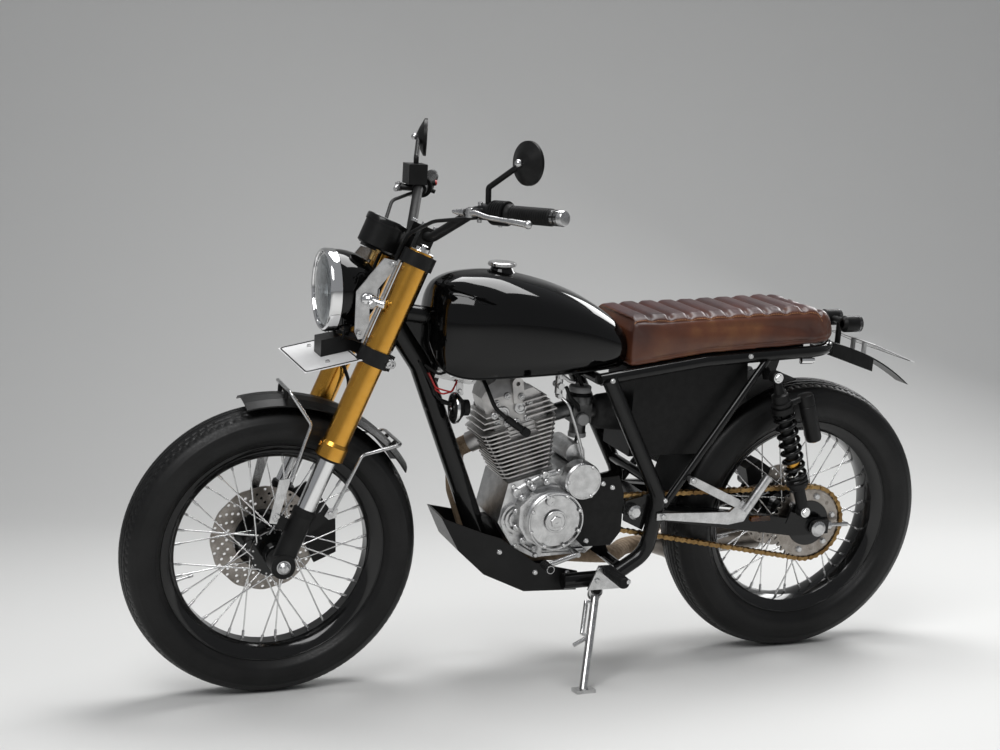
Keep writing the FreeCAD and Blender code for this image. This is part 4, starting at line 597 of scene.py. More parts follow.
def drilled_disc(name, body, axle, radius, inner, y, rows, count, seat_count):
    """Wavy disc with its drillings in slanted rows, and its bolts."""
    outline = [(axle.x + (radius + 1.2 * cos(12 * a) - 1.2) * cos(a),
                axle.z + (radius + 1.2 * cos(12 * a) - 1.2) * sin(a)) for a in turns(144)]
    holes = [(axle.x, axle.z, inner)]
    for k in range(count):
        for row in range(rows):
            r = inner + (radius - inner) * (0.38 + 0.5 * row / max(1, rows - 1))
            spot = axle + around(2 * pi * (k + row * 0.34) / count) * r
            holes.append((spot.x, spot.z, 3.6))
    shape, bolts = Shape(), Shape()
    shape.punched(outline, holes, y, y + 4.5, steps=10)
    shape.piece(name + "_drilled", "bright_steel", body, [name], sharp=30, finish="worn_disc")
    for a in turns(seat_count):
        for face, way in ((y + 4.5, RIGHT), (y, -RIGHT)):
            bolts.turned([(-0.5, 6), (1.0, 5.8), (2.2, 4.6), (2.2, 2.6), (0.8, 2.6), (0.8, 0)],
                         axle + around(a + 0.2) * (inner + 5) + RIGHT * face, way, 20)
    bolts.piece(name + "_bolts", "bright_steel", body, sharp=40)


def wheels():
    for name, (body, axle, tyre_sizes, hub_sizes) in WHEELS.items():
        tyre(name, body, axle, *tyre_sizes)
        rim(name, body, axle, tyre_sizes[2])
        spokes(name, body, axle, *hub_sizes[:2])
        hub(name, body, axle, *hub_sizes)
    front, rear = Shape(), Shape()
    carrier(front, FRONT_AXLE, 35, 67.7, 60)
    front.piece("front_disc_carrier", "black_rim", FRONT, ["front_wire_wheel"], sharp=30)
    carrier(rear, REAR_AXLE, 41, 56.7, 40)
    rear.turned([(-54, 11), (-54, 44), (-82.7, 68), (-83, 55.7), (-91, 55.7), (-91, 11)], REAR_AXLE, RIGHT,
                48, looped=True)
    rear.piece("rear_carriers", "black_rim", REAR, ["rear_wire_wheel"], sharp=30)
    drilled_disc("front_disc", FRONT, FRONT_AXLE, 120, 60, 68, 4, 24, 6)
    drilled_disc("rear_disc", REAR, REAR_AXLE, 105, 40, 57, 3, 20, 5)


# Final drive

def sprocket_bolts():
    shape, face = Shape(), Shape()
    for x, z in ring(650, 340, 68, 6, 15):
        shape.bolt((x, -89, z), -RIGHT, 8)
    shape.piece("sprocket_bolts", "bright_steel", REAR)
    holes = [(x, z, 5) for x, z in ring(650, 340, 68, 6, 45)] + [(650, 340, 57)]
    face.punched(ring(650, 340, 83, 72), holes, -89.4, -88.9)
    face.piece("sprocket_face", "dark_steel", REAR, finish="worn_disc")


def chain_path():
    """Pin points of the loop round both sprockets."""
    drive_r, driven_r = [PITCH / (2 * sin(pi / teeth)) for teeth in (FRONT_TEETH, REAR_TEETH)]
    reach = REAR_AXLE - DRIVE
    tilt = atan2(reach.z, reach.x)
    spread = asin((driven_r - drive_r) / reach.length)
    top, low = tilt + spread + pi / 2, tilt - spread - pi / 2
    run = reach.length * cos(spread)
    wrap = driven_r * (pi + 2 * spread)
    total = 2 * run + wrap + drive_r * (pi - 2 * spread)
    count = 2 * round(total / PITCH / 2)
    pins = []
    for along in [total * index / count for index in range(count)]:
        if along < run:
            spot = DRIVE + around(top) * drive_r + around(top - pi / 2) * along
        elif along < run + wrap:
            spot = REAR_AXLE + around(top - (along - run) / driven_r) * driven_r
        elif along < 2 * run + wrap:
            spot = REAR_AXLE + around(low) * driven_r + around(low - pi / 2) * (along - run - wrap)
        else:
            spot = DRIVE + around(low - (along - 2 * run - wrap) / drive_r) * drive_r
        pins.append(spot)
    return pins


def link_plate(shape, a, b, y, thick):
    """Waisted link plate round two pins."""
    way = (b - a).normalized()
    across = Vector((-way.z, 0, way.x))
    outline = []
    for middle, start, waist in ((b, -90, 3.6), (a, 90, -3.6)):
        for turn in [radians(start + 30 * k) for k in range(7)]:
            outline.append(middle + (way * cos(turn) + across * sin(turn)) * 5.6)
        outline.append((a + b) / 2 + across * waist)
    shape.prism([(spot.x, spot.z) for spot in outline], y, y + thick)


def chain():
    pins = chain_path()
    plates, rollers = Shape(), Shape()
    for index, pin in enumerate(pins):
        out = 6.2 if index % 2 else 4.2
        for side in SIDES:
            low = CHAIN_Y + side * out - (0 if side > 0 else 1.7)
            link_plate(plates, pin, pins[(index + 1) % len(pins)], low, 1.7)
        spot = Vector((pin.x, CHAIN_Y, pin.z))
        rollers.turned([(-4, 5.0), (4, 5.0)], spot, RIGHT, 12)
        rollers.turned([(-8.8, 2.2), (-8.4, 2.6), (8.4, 2.6), (8.8, 2.2)], spot, RIGHT, 8)
    plates.piece("chain_plates", "gold_chain", CHASSIS, ["chain"], sharp=40)
    rollers.piece("chain_rollers", "gold_chain", CHASSIS, sharp=40)


# Fork and front end

def fork_details():
    """Seals, collars, pinch bolts and caps along the legs."""
    dark, bright, gold = Shape(), Shape(), Shape()
    for side in SIDES:
        y = side * LEG_Y
        foot = on_fork(0, y, 0)
        gold.turned([(249, 27.6), (249, 30.6), (251, 31.4), (262, 31.4), (266, 28.4), (282, 28.2)], foot,
                    LEG, 44)
        dark.turned([(243, 20.8), (243, 25), (245, 26.6), (249, 26.6), (249, 20.8)], foot, LEG, 40,
                    looped=True)
        bright.turned([(720.4, 28), (721, 26.6), (725, 26), (726, 17), (732, 16.4), (733, 14.5)], foot, LEG,
                      40)
        bright.turned([(732, 8.5), (738, 8.5), (739, 7.4)], foot, LEG, 6)
        dark.turned([(112, 24.4), (118, 25.6), (126, 25.6), (129, 22), (130, 20.8)], foot, LEG, 40)
        gold.turned([(0, 5.5), (5, 5.5), (6, 4.2)], on_fork(-27.5, y, 272), -BEHIND_LEG, 14)
    gold.piece("fork_collars", "gold_tube", FORK, sharp=30)
    dark.piece("fork_seals", "black_metal", FORK, sharp=30, finish="black_rubber")
    bright.piece("fork_caps", "chrome", FORK, sharp=30)


def clamp_bolts():
    shape = Shape()
    spots = [on_fork(away, 0, up) for up, away in ((482, 38), (482, 26), (705, 40))]
    for spot, way in seats("fork_clamps", [(spot.x, spot.z) for spot in spots]):
        shape.turned([(-1, 10), (2, 10), (3, 9)], spot, way, 24)
        shape.socket(spot + way * 2, way, 8)
    for side in SIDES:
        for x in (4, 32):
            shape.socket(on_fork(x, side * 34, 777), LEG, 7)
    stem = on_fork(40, 0, 0)
    shape.turned([(718, 24), (724, 24), (726, 22), (726, 15), (734, 14), (735, 12)], stem, LEG, 6)
    shape.turned([(719, 27), (720.8, 27), (721, 26)], stem, LEG, 30)
    shape.piece("clamp_bolts", "bright_steel", FORK)


def axle_details():
    """Domed nuts, washers and stay bolts at the feet."""
    shape = Shape()
    for side in SIDES:
        out = RIGHT * side
        spot = FRONT_AXLE + out * (LEG_Y + 25.8)
        shape.turned([(0, 15), (1.6, 15), (2, 13.6)], spot, out, 28)
        shape.turned([(1.6, 12.6), (8, 12.6), (9, 11.4)], spot, out, 6)
        shape.turned([(8.6, 10.6), (11, 9.6), (13.6, 6.6), (14.8, 2.6), (15, 0)], spot, out, 24)
        for back, up in ((-54, 88), (-52, 94), (54, 138)):
            shape.bolt(on_fork(back, side * (LEG_Y + 4.6), up), out, 6)
    shape.piece("axle_nuts", "bright_steel", FORK)


def headlamp():
    """Black bowl, chrome rim, faceted reflector, bulb shield and ribbed lens."""
    bowl, rim_ring, reflector, bulb, lens, screws = [Shape() for _ in range(6)]
    bowl.turned([(20, 80), (21, 85), (22, 87), (34, 86.6), (48, 84.4), (62, 80.4), (76, 74.4), (90, 66),
                 (101, 55), (110, 42), (117, 27), (121, 12), (122, 0)], LAMP, BACK, 72)
    bowl.pipe([(-478, y, 884) for y in (-89, 89)], 6, 16)
    bowl.piece("headlamp_bowl", "tank_black", FORK, ["headlamp"], sharp=30)
    rim_ring.turned([(0, 80.2), (-3, 81.5), (-4, 84.5), (-2, 87.2), (2, 88.6), (6, 89), (14, 88.4),
                     (20, 88.6), (21, 87.6), (21, 85), (6, 80.2)], LAMP, BACK, 96, looped=True)
    rim_ring.piece("headlamp_rim", "tank_black", FORK, sharp=40, finish="chrome")
    rows = []
    for number in range(9):
        radius = 79.5 - number * 8.2
        along = 8 + 42 * (1 - (radius / 80) ** 2)
        rows.append([LAMP + Vector((along + (number + k) % 2 * 1.6, radius * cos(a), radius * sin(a)))
                     for k, a in enumerate(turns(36))])
    reflector.grid(rows, closed=True)
    reflector.piece("headlamp_reflector", "chrome", FORK, sharp=4, finish="dark_mirror")
    bulb.turned([(6, 0.5), (5, 8), (8, 13), (20, 13), (22, 11)], LAMP, BACK, 24)
    bulb.pipe([LAMP + Vector((12, y, 0)) for y in (-78, 78)], 1.6, 8)
    bulb.piece("headlamp_bulb_shield", "chrome", FORK, sharp=30)
    lens.turned([(4, 79.8), (-1, 72), (-5, 52), (-8, 28), (-9.4, 0), (-6.4, 0), (-5, 28), (-2, 52), (2, 72),
                 (7, 79.8)], LAMP, BACK, 72, looped=True)
    for y in range(-72, 73, 8):
        reach = 0.93 * sqrt(79.0 ** 2 - y * y)
        heights = [reach * (n / 6 - 1) for n in range(13)]
        rib = [Vector((2.6 - 5.8 * (1 - (y * y + z * z) / 6300.0), y, z)) for z in heights]
        lens.pipe([LAMP + spot for spot in rib], 1.6, 6)
    lens.piece("headlamp_glass", "lens_glass", FORK, ["headlamp_lens"], sharp=50)
    screws.bolt(LAMP + Vector((12, 0, -88)), -UP, 5)
    for side in SIDES:
        out = RIGHT * side
        screws.bolt((-478, side * 113, 884), out, 9)
        screws.turned([(20, 10), (24, 10), (25, 8)], (-478, side * 89, 884), out, 20)
        for x, z in ((-434, 965), (-500, 820)):
            screws.socket((x, side * 97, z), out, 7)
    screws.piece("headlamp_screws", "bright_steel", FORK)


# Plates and lamps

BOARD_EDGE = Vector((-619, 0, 743))
BOARD_SLOPE = atan2(26, 121)


def board_spot(x, y, lift=0.0):
    """Upright point on the front plate's upper side."""
    up = BOARD_EDGE.z + (x - BOARD_EDGE.x) * tan(BOARD_SLOPE)
    return Vector((x - lift * sin(BOARD_SLOPE), y, up + lift * cos(BOARD_SLOPE)))


def rear_board_spot(along, y, lift=0.0):
    """Upright point on the rear plate's upper side."""
    start, end = Vector((760, 0, 786)), Vector((878, 0, 742))
    way = (end - start).normalized()
    return start + way * along + Vector((-way.z, 0, way.x)) * lift + RIGHT * y


def plates():
    """Raised rounded frame near each blank plate's edge, and its two bolts."""
    half, bend = 121, 9
    for name, body, spot, low, high, middle in (("front_plate", FORK, board_spot, -615, -502, -560),
                                                ("rear_plate", CHASSIS, rear_board_spot, 5, 120, 60)):
        border, bolts = Shape(), Shape()
        route = []
        for u, v, first in ((high - bend, half - bend, 0), (low + bend, half - bend, 90),
                            (low + bend, bend - half, 180), (high - bend, bend - half, 270)):
            route += [spot(*point, 0.5) for point in arc(u, v, bend, first, 18, 6)]
        border.pipe(route, 1.5, 8, looped=True)
        border.piece(name + "_border", "plate_white", body, finish="black_plastic")
        for y in (-82, 82):
            bolts.bolt(spot(middle, y, 0.3), spot(0, 0, 1) - spot(0, 0, 0), 5)
        bolts.piece(name + "_bolts", "bright_steel", body)


def tail_lamps():
    cups, rims, lenses, reflectors = [Shape() for _ in range(4)]
    for side in SIDES:
        spot = Vector((716, side * 44, 822))
        cups.turned([(0, 9), (2, 12), (8, 14.6), (24, 18), (40, 19.6), (43, 19.6)], spot, BACK, 40)
        rims.turned([(39, 18), (39.5, 20), (47, 20), (48, 19), (48, 16.6), (44, 16.6)], spot, BACK, 44,
                    looped=True)
        lenses.turned([(43, 16.6), (46, 15), (47.4, 9), (47.8, 0)], spot, BACK, 36)
    cups.piece("tail_lamp_cups", "black_plastic", CHASSIS, sharp=30)
    rims.piece("tail_lamp_rims", "chrome", CHASSIS, sharp=30)
    lenses.piece("tail_lamp_glass", "lens_glass", CHASSIS, finish="red_lens")
    for spot, way in seats("swingarm", [(500, 366)]):
        reflectors.prism([(476, 361), (524, 361), (526, 363), (526, 371), (524, 373), (476, 373),
                          (474, 371), (474, 363)], spot.y, spot.y + way.y * 5)
    reflectors.piece("side_reflectors", "lens_glass", CHASSIS, finish="amber_lens")


# Controls

def bar_frame(side):
    """End of the bar, its way outward, and the level way ahead of it."""
    end = Vector((-200, side * 385, 1104))
    way = Vector((92, side * 190, 12)).normalized()
    return end, way, Vector((-abs(way.y), side * way.x, 0)).normalized()


def ribs_along(core, crest, first, step, slope, top, count):
    """Profile of count ribs that rise from the core's radius to the crest's."""
    profile = []
    for at in [first + step * k for k in range(count)]:
        profile += [(at, core), (at + slope, crest), (at + top, crest), (at + top + slope, core)]
    return profile


def grips():
    ribs, ends = Shape(), Shape()
    profile = [(-118, 12), (-118, 20), (-115, 20.6), (-112, 17.5)]
    profile += ribs_along(16.4, 17.6, -109, 6.1, 0.6, 4.2, 17) + [(-3, 17.6), (-1, 16.5), (0, 12)]
    for side in SIDES:
        end, way, _ = bar_frame(side)
        ribs.turned(profile, end, way, 36)
        ends.turned([(0, 10), (0.5, 15), (2, 16), (9, 16), (9.6, 14.4), (11.6, 14.4), (12.2, 16), (28, 16),
                     (31, 14.6), (32, 12), (32, 0)], end, way, 36)
    ribs.piece("grip_ribs", "black_rubber", FORK, sharp=28)
    ends.piece("bar_ends", "bright_steel", FORK, sharp=28)


def levers():
    """Curved alloy blades with balls, their pivots and adjusters."""
    blades, bits = Shape(), Shape()
    for side in SIDES:
        end, way, ahead = bar_frame(side)
        perch = end - way * 180
        root = perch + ahead * 49.8
        route = [root - way * 6, root + way * 22, root + way * 60 + Vector((-6, 0, -6)),
                 root + way * 108 + Vector((1, 0, -10)), root + way * 148 + Vector((10, 0, -14))]
        curve = rounded(route, 60, 8)
        blades.pipe(curve, lambda share: 6.2 - 1.6 * sin(share * 3) + 0.6 * share, 14)
        blades.ball(curve[-1], 8.5, 18)
        bits.turned([(-9, 8), (9, 8), (10, 7), (10, 3.4), (12, 3.4)], root, UP, 20)
        bits.turned([(0, 7.4), (12, 7.4), (13, 6), (24, 6), (25, 4.4), (34, 4.4)], root - way * 12, -way, 16)
        for up in (UP, -UP):
            bits.socket(perch + ahead * 20 + up * 15, up, 6)
    blades.piece("lever_blades", "black_metal", FORK, ["levers"], sharp=50, finish="cast_aluminium")
    bits.piece("lever_pivots", "bright_steel", FORK)


def switch_details():
    """Ribbed housings with their buttons and screws."""
    dark, bright, accent = Shape(), Shape(), Shape()
    for side in SIDES:
        end, way, ahead = bar_frame(side)
        middle = end - way * 140
        for at in [-18 + 6.4 * k for k in range(6)]:
            dark.turned([(at, 23.5), (at + 0.6, 25.4), (at + 4, 25.4), (at + 4.6, 23.5)], middle, way, 40)
        dark.pipe([middle - ahead * 18 + UP * 6, middle - ahead * 31 + UP * 9], 7, 14)
        dark.pipe([middle - ahead * 20 - UP * 10 + way * 4, middle - ahead * 30 - UP * 13 + way * 4], 5, 14)
        bright.socket(middle - UP * 23, -UP, 5)
    accent.turned([(0, 6), (3, 6), (4, 4.5)], middle - ahead * 30 + UP * 9, -ahead, 16)
    dark.piece("switch_ribs", "black_plastic", FORK)
    bright.piece("switch_screws", "bright_steel", FORK)
    accent.piece("stop_button", "black_plastic", FORK, finish="red_wire")


MIRROR_HEAD = Vector((-240, 330, 1203))
MIRROR_TURN = 19


def mirrors():
    glass_face, edge, joints = Shape(), Shape(), Shape()
    turn = radians(MIRROR_TURN)
    for side in SIDES:
        head = mirrored(MIRROR_HEAD, side)
        face = Vector((cos(turn), -side * sin(turn), 0))
        glass_face.turned([(5, 40.5), (5.6, 40.5), (5.8, 38), (5.8, 0)], head, face, 56)
        edge.turned([(3, 44.2), (6.6, 44.2), (7.2, 43.4), (7.2, 40.6), (5, 40.6)], head, face, 64,
                    looped=True)
        joints.ball(head - face * 22, 8, 16)
    glass_face.piece("mirror_glass", "black_plastic", FORK, finish="mirror_face")
    edge.piece("mirror_edges", "black_plastic", FORK)
    joints.piece("mirror_joints", "black_plastic", FORK, finish="bright_steel")


def speedometer():
    """Dial with a plain scale, a needle and a glass under a black rim."""
    dial, marks, needle, rim_ring, cover, studs = [Shape() for _ in range(6)]
    centre = on_fork(-62, 0, 0)

    def scale_way(degrees):
        return BEHIND_LEG * -cos(radians(degrees)) + RIGHT * sin(radians(degrees))

    dial.turned([(750.2, 40), (751, 40), (751.2, 38), (751.2, 0)], centre, LEG, 56)
    for k in range(41):
        way = scale_way(-130 + 260 * k / 40)
        long, thick = (4.5, 0.4) if k % 4 else (8, 0.8)
        marks.pipe([centre + LEG * 751.6 + way * reach for reach in (37 - long, 37)], thick, 4)
    way = scale_way(-126)
    needle.pipe([centre + LEG * 752.6 + way * reach for reach in (-8, 31)], lambda share: 1.6 - share, 6)
    needle.turned([(751, 5), (754, 5), (755, 3.6)], centre, LEG, 20)
    rim_ring.turned([(746, 46.2), (754, 46.2), (757, 45), (758, 43), (757, 41), (751, 40.4)], centre, LEG, 64,
                    looped=True)
    cover.turned([(755.4, 41), (757, 30), (757.8, 15), (758, 0), (757, 0), (756.8, 15), (756, 30),
                  (754.6, 41)], centre, LEG, 56, looped=True)
    for y in (-24, 24):
        studs.bolt(on_fork(-62, y, 689), -LEG, 6)
    studs.turned([(0, 7), (8, 7), (9, 5.6), (26, 5.6)], on_fork(-62, -6, 690), -LEG, 16)
    dial.piece("speedometer_dial", "black_plastic", FORK, finish="dial")
    marks.piece("speedometer_marks", "black_plastic", FORK, finish="satin_white")
    needle.piece("speedometer_needle", "black_plastic", FORK, finish="red_wire")
    rim_ring.piece("speedometer_rim", "black_plastic", FORK, sharp=50, finish="black_frame")
    cover.piece("speedometer_glass", "lens_glass", FORK)
    studs.piece("speedometer_studs", "bright_steel", FORK, finish="brass")


# Engine

ROUND_COVER = (-32.5, 392)
RIGHT_COVER = (10, 392)
LID = (36, 477)
SPROCKET_COVER_Y = -102.6
CASE_Y = 75


def engine_bolts():
    """Case screws, cover screws and the sprocket cover's bolts."""
    shape = Shape()
    for x, z in ((-138, 381), (-120, 462), (-106, 322), (-56, 297), (64, 301), (112, 338), (124, 398)):
        for side in SIDES:
            shape.bolt((x, skin("crankcase", x, z, side) or side * CASE_Y, z), RIGHT * side, 6)
    for x, z in ring(*ROUND_COVER, 62, 8, 22):
        shape.bolt((x, -126.8, z), -RIGHT, 5)
    for x, z in ring(*RIGHT_COVER, 74, 8, 22):
        shape.bolt((x, 100, z), RIGHT, 5)
    for x, z in ring(*LID, 38, 3, 60):
        shape.bolt((x, -112.8, z), -RIGHT, 4.5)
    for x, z in ((112, 458), (88, 468), (56, 334)):
        shape.bolt((x, SPROCKET_COVER_Y, z), -RIGHT, 6)
    shape.piece("engine_bolts", "bright_steel", CHASSIS)


def cover_caps():
    """Slotted plugs and the machined rings of the side covers."""
    shape = Shape()
    middle, spot = Vector((-32.5, -127.2, 392)), Vector((-48, -127.2, 440))
    shape.turned([(-1, 26), (1.5, 26), (2.4, 25), (2.4, 22), (1.0, 21), (1.0, 0)], middle, -RIGHT, 48)
    shape.turned([(0, 14), (4, 14), (5, 13), (5, 4), (3, 4), (3, 0)], middle, -RIGHT, 6)
    shape.turned([(-1, 11), (2, 11), (3, 10), (3, 4), (1.6, 4), (1.6, 0)], spot, -RIGHT, 28)
    for (x, z), radius, face in ((ROUND_COVER, 67, -127.0), (LID, 41, -113.0)):
        lip = [(0, radius), (1.2, radius - 0.6), (1.2, radius - 3.4), (0, radius - 4)]
        shape.turned(lip, (x, face, z), -RIGHT, 80, looped=True)
    shape.turned([(0, 32), (1.4, 31), (1.4, 0)], (10, 111, 392), RIGHT, 48)
    shape.turned([(0, 12), (3, 12), (4, 11), (4, 5), (2, 5), (2, 0)], (10, 112.4, 392), RIGHT, 24)
    shape.piece("cover_rings", "cast_aluminium", CHASSIS, sharp=28)


def fin_ties():
    """Short webs that tie the fins at their edges."""
    shape = Shape()
    for i in range(11):
        share = (i + 0.5) / 11
        half = 46 + 6 * share
        for x in (45 + 32 * share, -57 - 30 * share):
            for y in (-half, half):
                shape.turned([(-5.2, 3), (5.2, 3)], on_cylinder(x, y, 98.7 + 10 * i), CYLINDER, 8)
    shape.piece("fin_ties", "bare_fins", CHASSIS)


COIL_GAP = 1.02


def spring(shape, start, end, radius, wire, coils, per_turn=16, count=8, ends=0.9):
    """Helical wire with its end coils closed up."""
    way = (end - start).normalized()
    out = way.orthogonal().normalized()
    side = way.cross(out)
    closed = 2 * wire * COIL_GAP
    open_length = (end - start).length - 2 * ends * closed
    route = []
    for k in range(round(coils * per_turn) + 1):
        turn = k / per_turn
        low, high = min(turn, ends), max(0.0, turn - (coils - ends))
        along = closed * (low + high) + open_length * (turn - low - high) / (coils - 2 * ends)
        a = 2 * pi * turn
        route.append(start + way * along + (out * cos(a) + side * sin(a)) * radius)
    shape.pipe(route, wire, count)


def shocks():
    """Coil springs over gold dampers, with reservoirs behind."""
    coils, bodies, gold, bright = [Shape() for _ in range(4)]
    for side in SIDES:
        top, foot = mirrored(SHOCK_TOP, side), mirrored(SHOCK_FOOT, side)
        way = (foot - top).normalized()
        length = (foot - top).length
        reservoir = top + Vector((-way.z, 0, way.x)) * 64
        spring(coils, top + way * 93, top + way * 263, 22.4, 4.6, 9.0)
        bodies.turned([(40, 13), (44, 20), (62, 20), (63, 24), (70, 24), (71, 21), (74, 21), (75, 26.6),
                       (88, 26.6), (89, 24), (89, 15)], top, way, 40)
        bodies.turned([(267, 15), (267, 25), (268, 26.6), (274, 26.6), (276, 22), (284, 21), (288, 14.4),
                       (length - 12, 14), (length - 10, 10)], top, way, 40)
        bodies.turned([(8, 9), (30, 11), (42, 13)], top, way, 20)
        bodies.turned([(88, 15.5), (206, 15.5), (207, 14)], top, way, 32)
        gold.turned([(205, 13), (206, 16.4), (236, 16.4), (237, 15)], top, way, 32)
        bright.turned([(236, 7.2), (268, 7.2)], top, way, 24)
        bodies.turned([(66, 12), (68, 18), (72, 19), (92, 19), (93, 18), (95, 18), (96, 19), (178, 19),
                       (184, 17), (186, 12)], reservoir, way, 36)
        gold.turned([(181, 9), (188, 9), (189, 7.6)], reservoir, way, 6)
        bodies.pipe([top + way * 74, reservoir + way * 74], 8, 16)
        for spot in (top, foot):
            bodies.turned([(-11, 7), (-11, 14), (-10, 15), (10, 15), (11, 14), (11, 7)], spot, RIGHT, 32,
                          looped=True)
            bright.turned([(11, 9), (14, 9), (15, 8)], spot, RIGHT * side, 6)
            bright.turned([(10.5, 12), (11.6, 12)], spot, RIGHT * side, 24)
    coils.piece("shock_springs", "black_metal", CHASSIS, ["rear_shocks"], sharp=60, finish="black_frame")
    bodies.piece("shock_bodies", "black_metal", CHASSIS, sharp=30)
    gold.piece("shock_dampers", "gold_tube", CHASSIS, sharp=30)
    bright.piece("shock_rods", "chrome", CHASSIS, sharp=30)


# Chassis trim

def tank_details():
    """Ribbed cap on its neck, and the tap with its lever."""
    shape, dark, tap = Shape(), Shape(), Shape()
    spot = Vector((-151, 0, 936))
    dark.turned([(0, 30), (10, 24), (13, 23)], spot, UP, 48)
    shape.turned([(13, 27), (14, 30), (15, 31), (19, 31), (22, 29.6), (23, 27.6), (23, 20), (21.6, 19),
                  (21.6, 0)], spot, UP, 60)
    for x, y in ring(spot.x, 0, 30.6, 24):
        shape.pipe([(x, y, spot.z + up) for up in (15.5, 19.5)], 1.2, 6)
    shape.piece("tank_cap_rim", "bright_steel", CHASSIS)
    dark.piece("tank_cap_neck", "black_metal", CHASSIS, finish="tank_black")
    tap.turned([(0, 11), (10, 11), (11, 9.6), (16, 9.6)], (-20, -62, 716), -RIGHT, 6)
    tap.pipe([(-20, -76, 716), (-4, -80, 704), (10, -80, 700)], 4, 10)
    tap.piece("fuel_tap_lever", "bright_steel", CHASSIS)


MOUNTS = [("frame", 12, [(168, 400)]), ("frame", 6, [(78, 714), (236, 428), (430, 762)]),
          ("rider_footpegs", 6, [(60, 262), (108, 262), (62, 288), (94, 288)]),
          ("skid_plate", 6, [(-150, 316), (-60, 262), (20, 256)]), ("battery_box", 5, [(150, 660)]),
          ("passenger_footpegs", 7, [(228, 394), (297, 477)])]


def frame_bolts():
    """Pivot and mounting bolts, seated on the faces that they hold."""
    shape = Shape()
    for node, size, spots in MOUNTS:
        for spot, way in seats(node, spots, least=20):
            shape.bolt(spot, way, size)
    shape.piece("frame_bolts", "bright_steel", CHASSIS)


def seat_lock():
    """Small bright barrel that hangs below the left rail near the tail."""
    shape = Shape()
    shape.turned([(0, 6), (1, 8), (30, 8), (31, 6.4), (36, 6.4), (36, 0)], (570, -108, 748), BACK, 28)
    shape.pipe([(584, -106, 750), (584, -105, 762)], 5, 14)
    shape.piece("seat_lock", "bright_steel", CHASSIS, finish="chrome")


def caliper_bolts():
    shape = Shape()
    for spot, way in seats("front_brake", [(-552, 388), (-508, 300), (-532, 345)], (1, )):
        shape.socket(spot, way, 9)
    shape.piece("caliper_bolts", "bright_steel", FORK)


def foot_pegs():
    """Ribbed rubbers on the rider's pegs and the gear lever's toe."""
    shape = Shape()
    profile = [(0, 12.4)] + ribs_along(12.4, 14, 3, 8, 1, 5.6, 10) + [(86, 12.4), (88, 11), (88, 0)]
    for side in SIDES:
        shape.turned(profile, (86, side * 170, 284), RIGHT * side, 24)
    profile = [(0, 8.6)] + ribs_along(8.6, 10.4, 2, 9, 1, 6, 4) + [(40, 8)]
    shape.turned(profile, (-60, -140, 298), -RIGHT, 20)
    shape.piece("peg_rubbers", "black_rubber", CHASSIS)


def horn_details():
    """Rings of the horn's face, its bright edge, and the steady bracket on the downtube."""
    rings, edge, bracket = Shape(), Shape(), Shape()
    centre = (-262, -44, 640)
    for radius in (27, 20, 13):
        rings.turned([(0, radius), (1.6, radius - 1.2), (0, radius - 2.4)], centre, -BACK, 44, looped=True)
    rings.piece("horn_rings", "black_plastic", CHASSIS)
    edge.turned([(-1.5, 34.6), (-1.5, 32), (5, 32), (5, 34.6), (3.4, 35.4), (0, 35.4)], centre, BACK, 56,
                looped=True)
    edge.socket(centre, -BACK, 7)
    edge.piece("horn_edge", "black_plastic", CHASSIS, finish="chrome")
    bracket.punched([(-304, 706), (-222, 688), (-208, 690), (-204, 700), (-214, 706), (-232, 716),
                     (-296, 728)], [(-216, 698, 4), (-262, 710, 6)], -27, -23.5)
    bracket.punched([(-250, 700), (-236, 700), (-234, 664), (-252, 664)], [(-243, 674, 4)], -27, -23.5)
    bracket.bolt((-286, -27, 714), -RIGHT, 6)
    bracket.bolt((-243, -27, 674), -RIGHT, 5)
    bracket.piece("steady_bracket", "black_frame", CHASSIS, finish="bright_steel")


def wires():
    """Loose red and black wires beside the downtube."""
    red, black = Shape(), Shape()
    for shift in (0, 5):
        red.pipe(rounded([(-322 + shift, -26, 716), (-306, -40 - shift, 682 + shift),
                          (-290, -46, 672 + 2 * shift), (-268, -42 - shift, 676),
                          (-252, -30, 694 + shift)], 10, 5), 1.9, 8)
    for route in ([(-340, -30, 742), (-318, -40, 700), (-296, -38, 660), (-270, -34, 650)],
                  [(-330, -34, 736), (-300, -44, 716), (-268, -46, 726), (-250, -36, 752)]):
        black.pipe(rounded(route, 16, 6), 3, 8)
    red.piece("red_wires", "black_rubber", CHASSIS, finish="red_wire")
    black.piece("black_wires", "black_rubber", CHASSIS)


def lamp_mounts():
    """Chrome mounts outside the lamp brackets, and small amber lamps on the plate bracket."""
    mounts, stalks, lamps = Shape(), Shape(), Shape()
    for side in SIDES:
        root = Vector((-486, side * 93, 892))
        way = Vector((40, side * 34, -10)).normalized()
        mounts.turned([(-6, 8), (0, 9.5), (30, 9.5), (31, 8), (33, 8), (34, 9.5), (44, 9.5), (46, 8)], root,
                      way, 28)
        mounts.turned([(-7, 12.5), (-5, 13.5), (7, 13.5), (9, 12.5)], root + way * 4, way, 28)
        spot = Vector((-517, side * 44, 822))
        stalks.pipe([(-517, side * 27, 796), (-517, side * 40, 806), spot], 4, 12)
        stalks.turned([(-12, 6), (-8, 9.6), (0, 10.4), (3, 10.4)], spot, -BACK, 24)
        lamps.turned([(2, 9.6), (8, 8), (11, 4), (11.6, 0)], spot, -BACK, 24)
    mounts.piece("lamp_mounts", "cast_aluminium", FORK, finish="chrome")
    stalks.piece("amber_lamp_cups", "black_plastic", FORK)
    lamps.piece("amber_lamps", "lens_glass", FORK, finish="amber_lens")


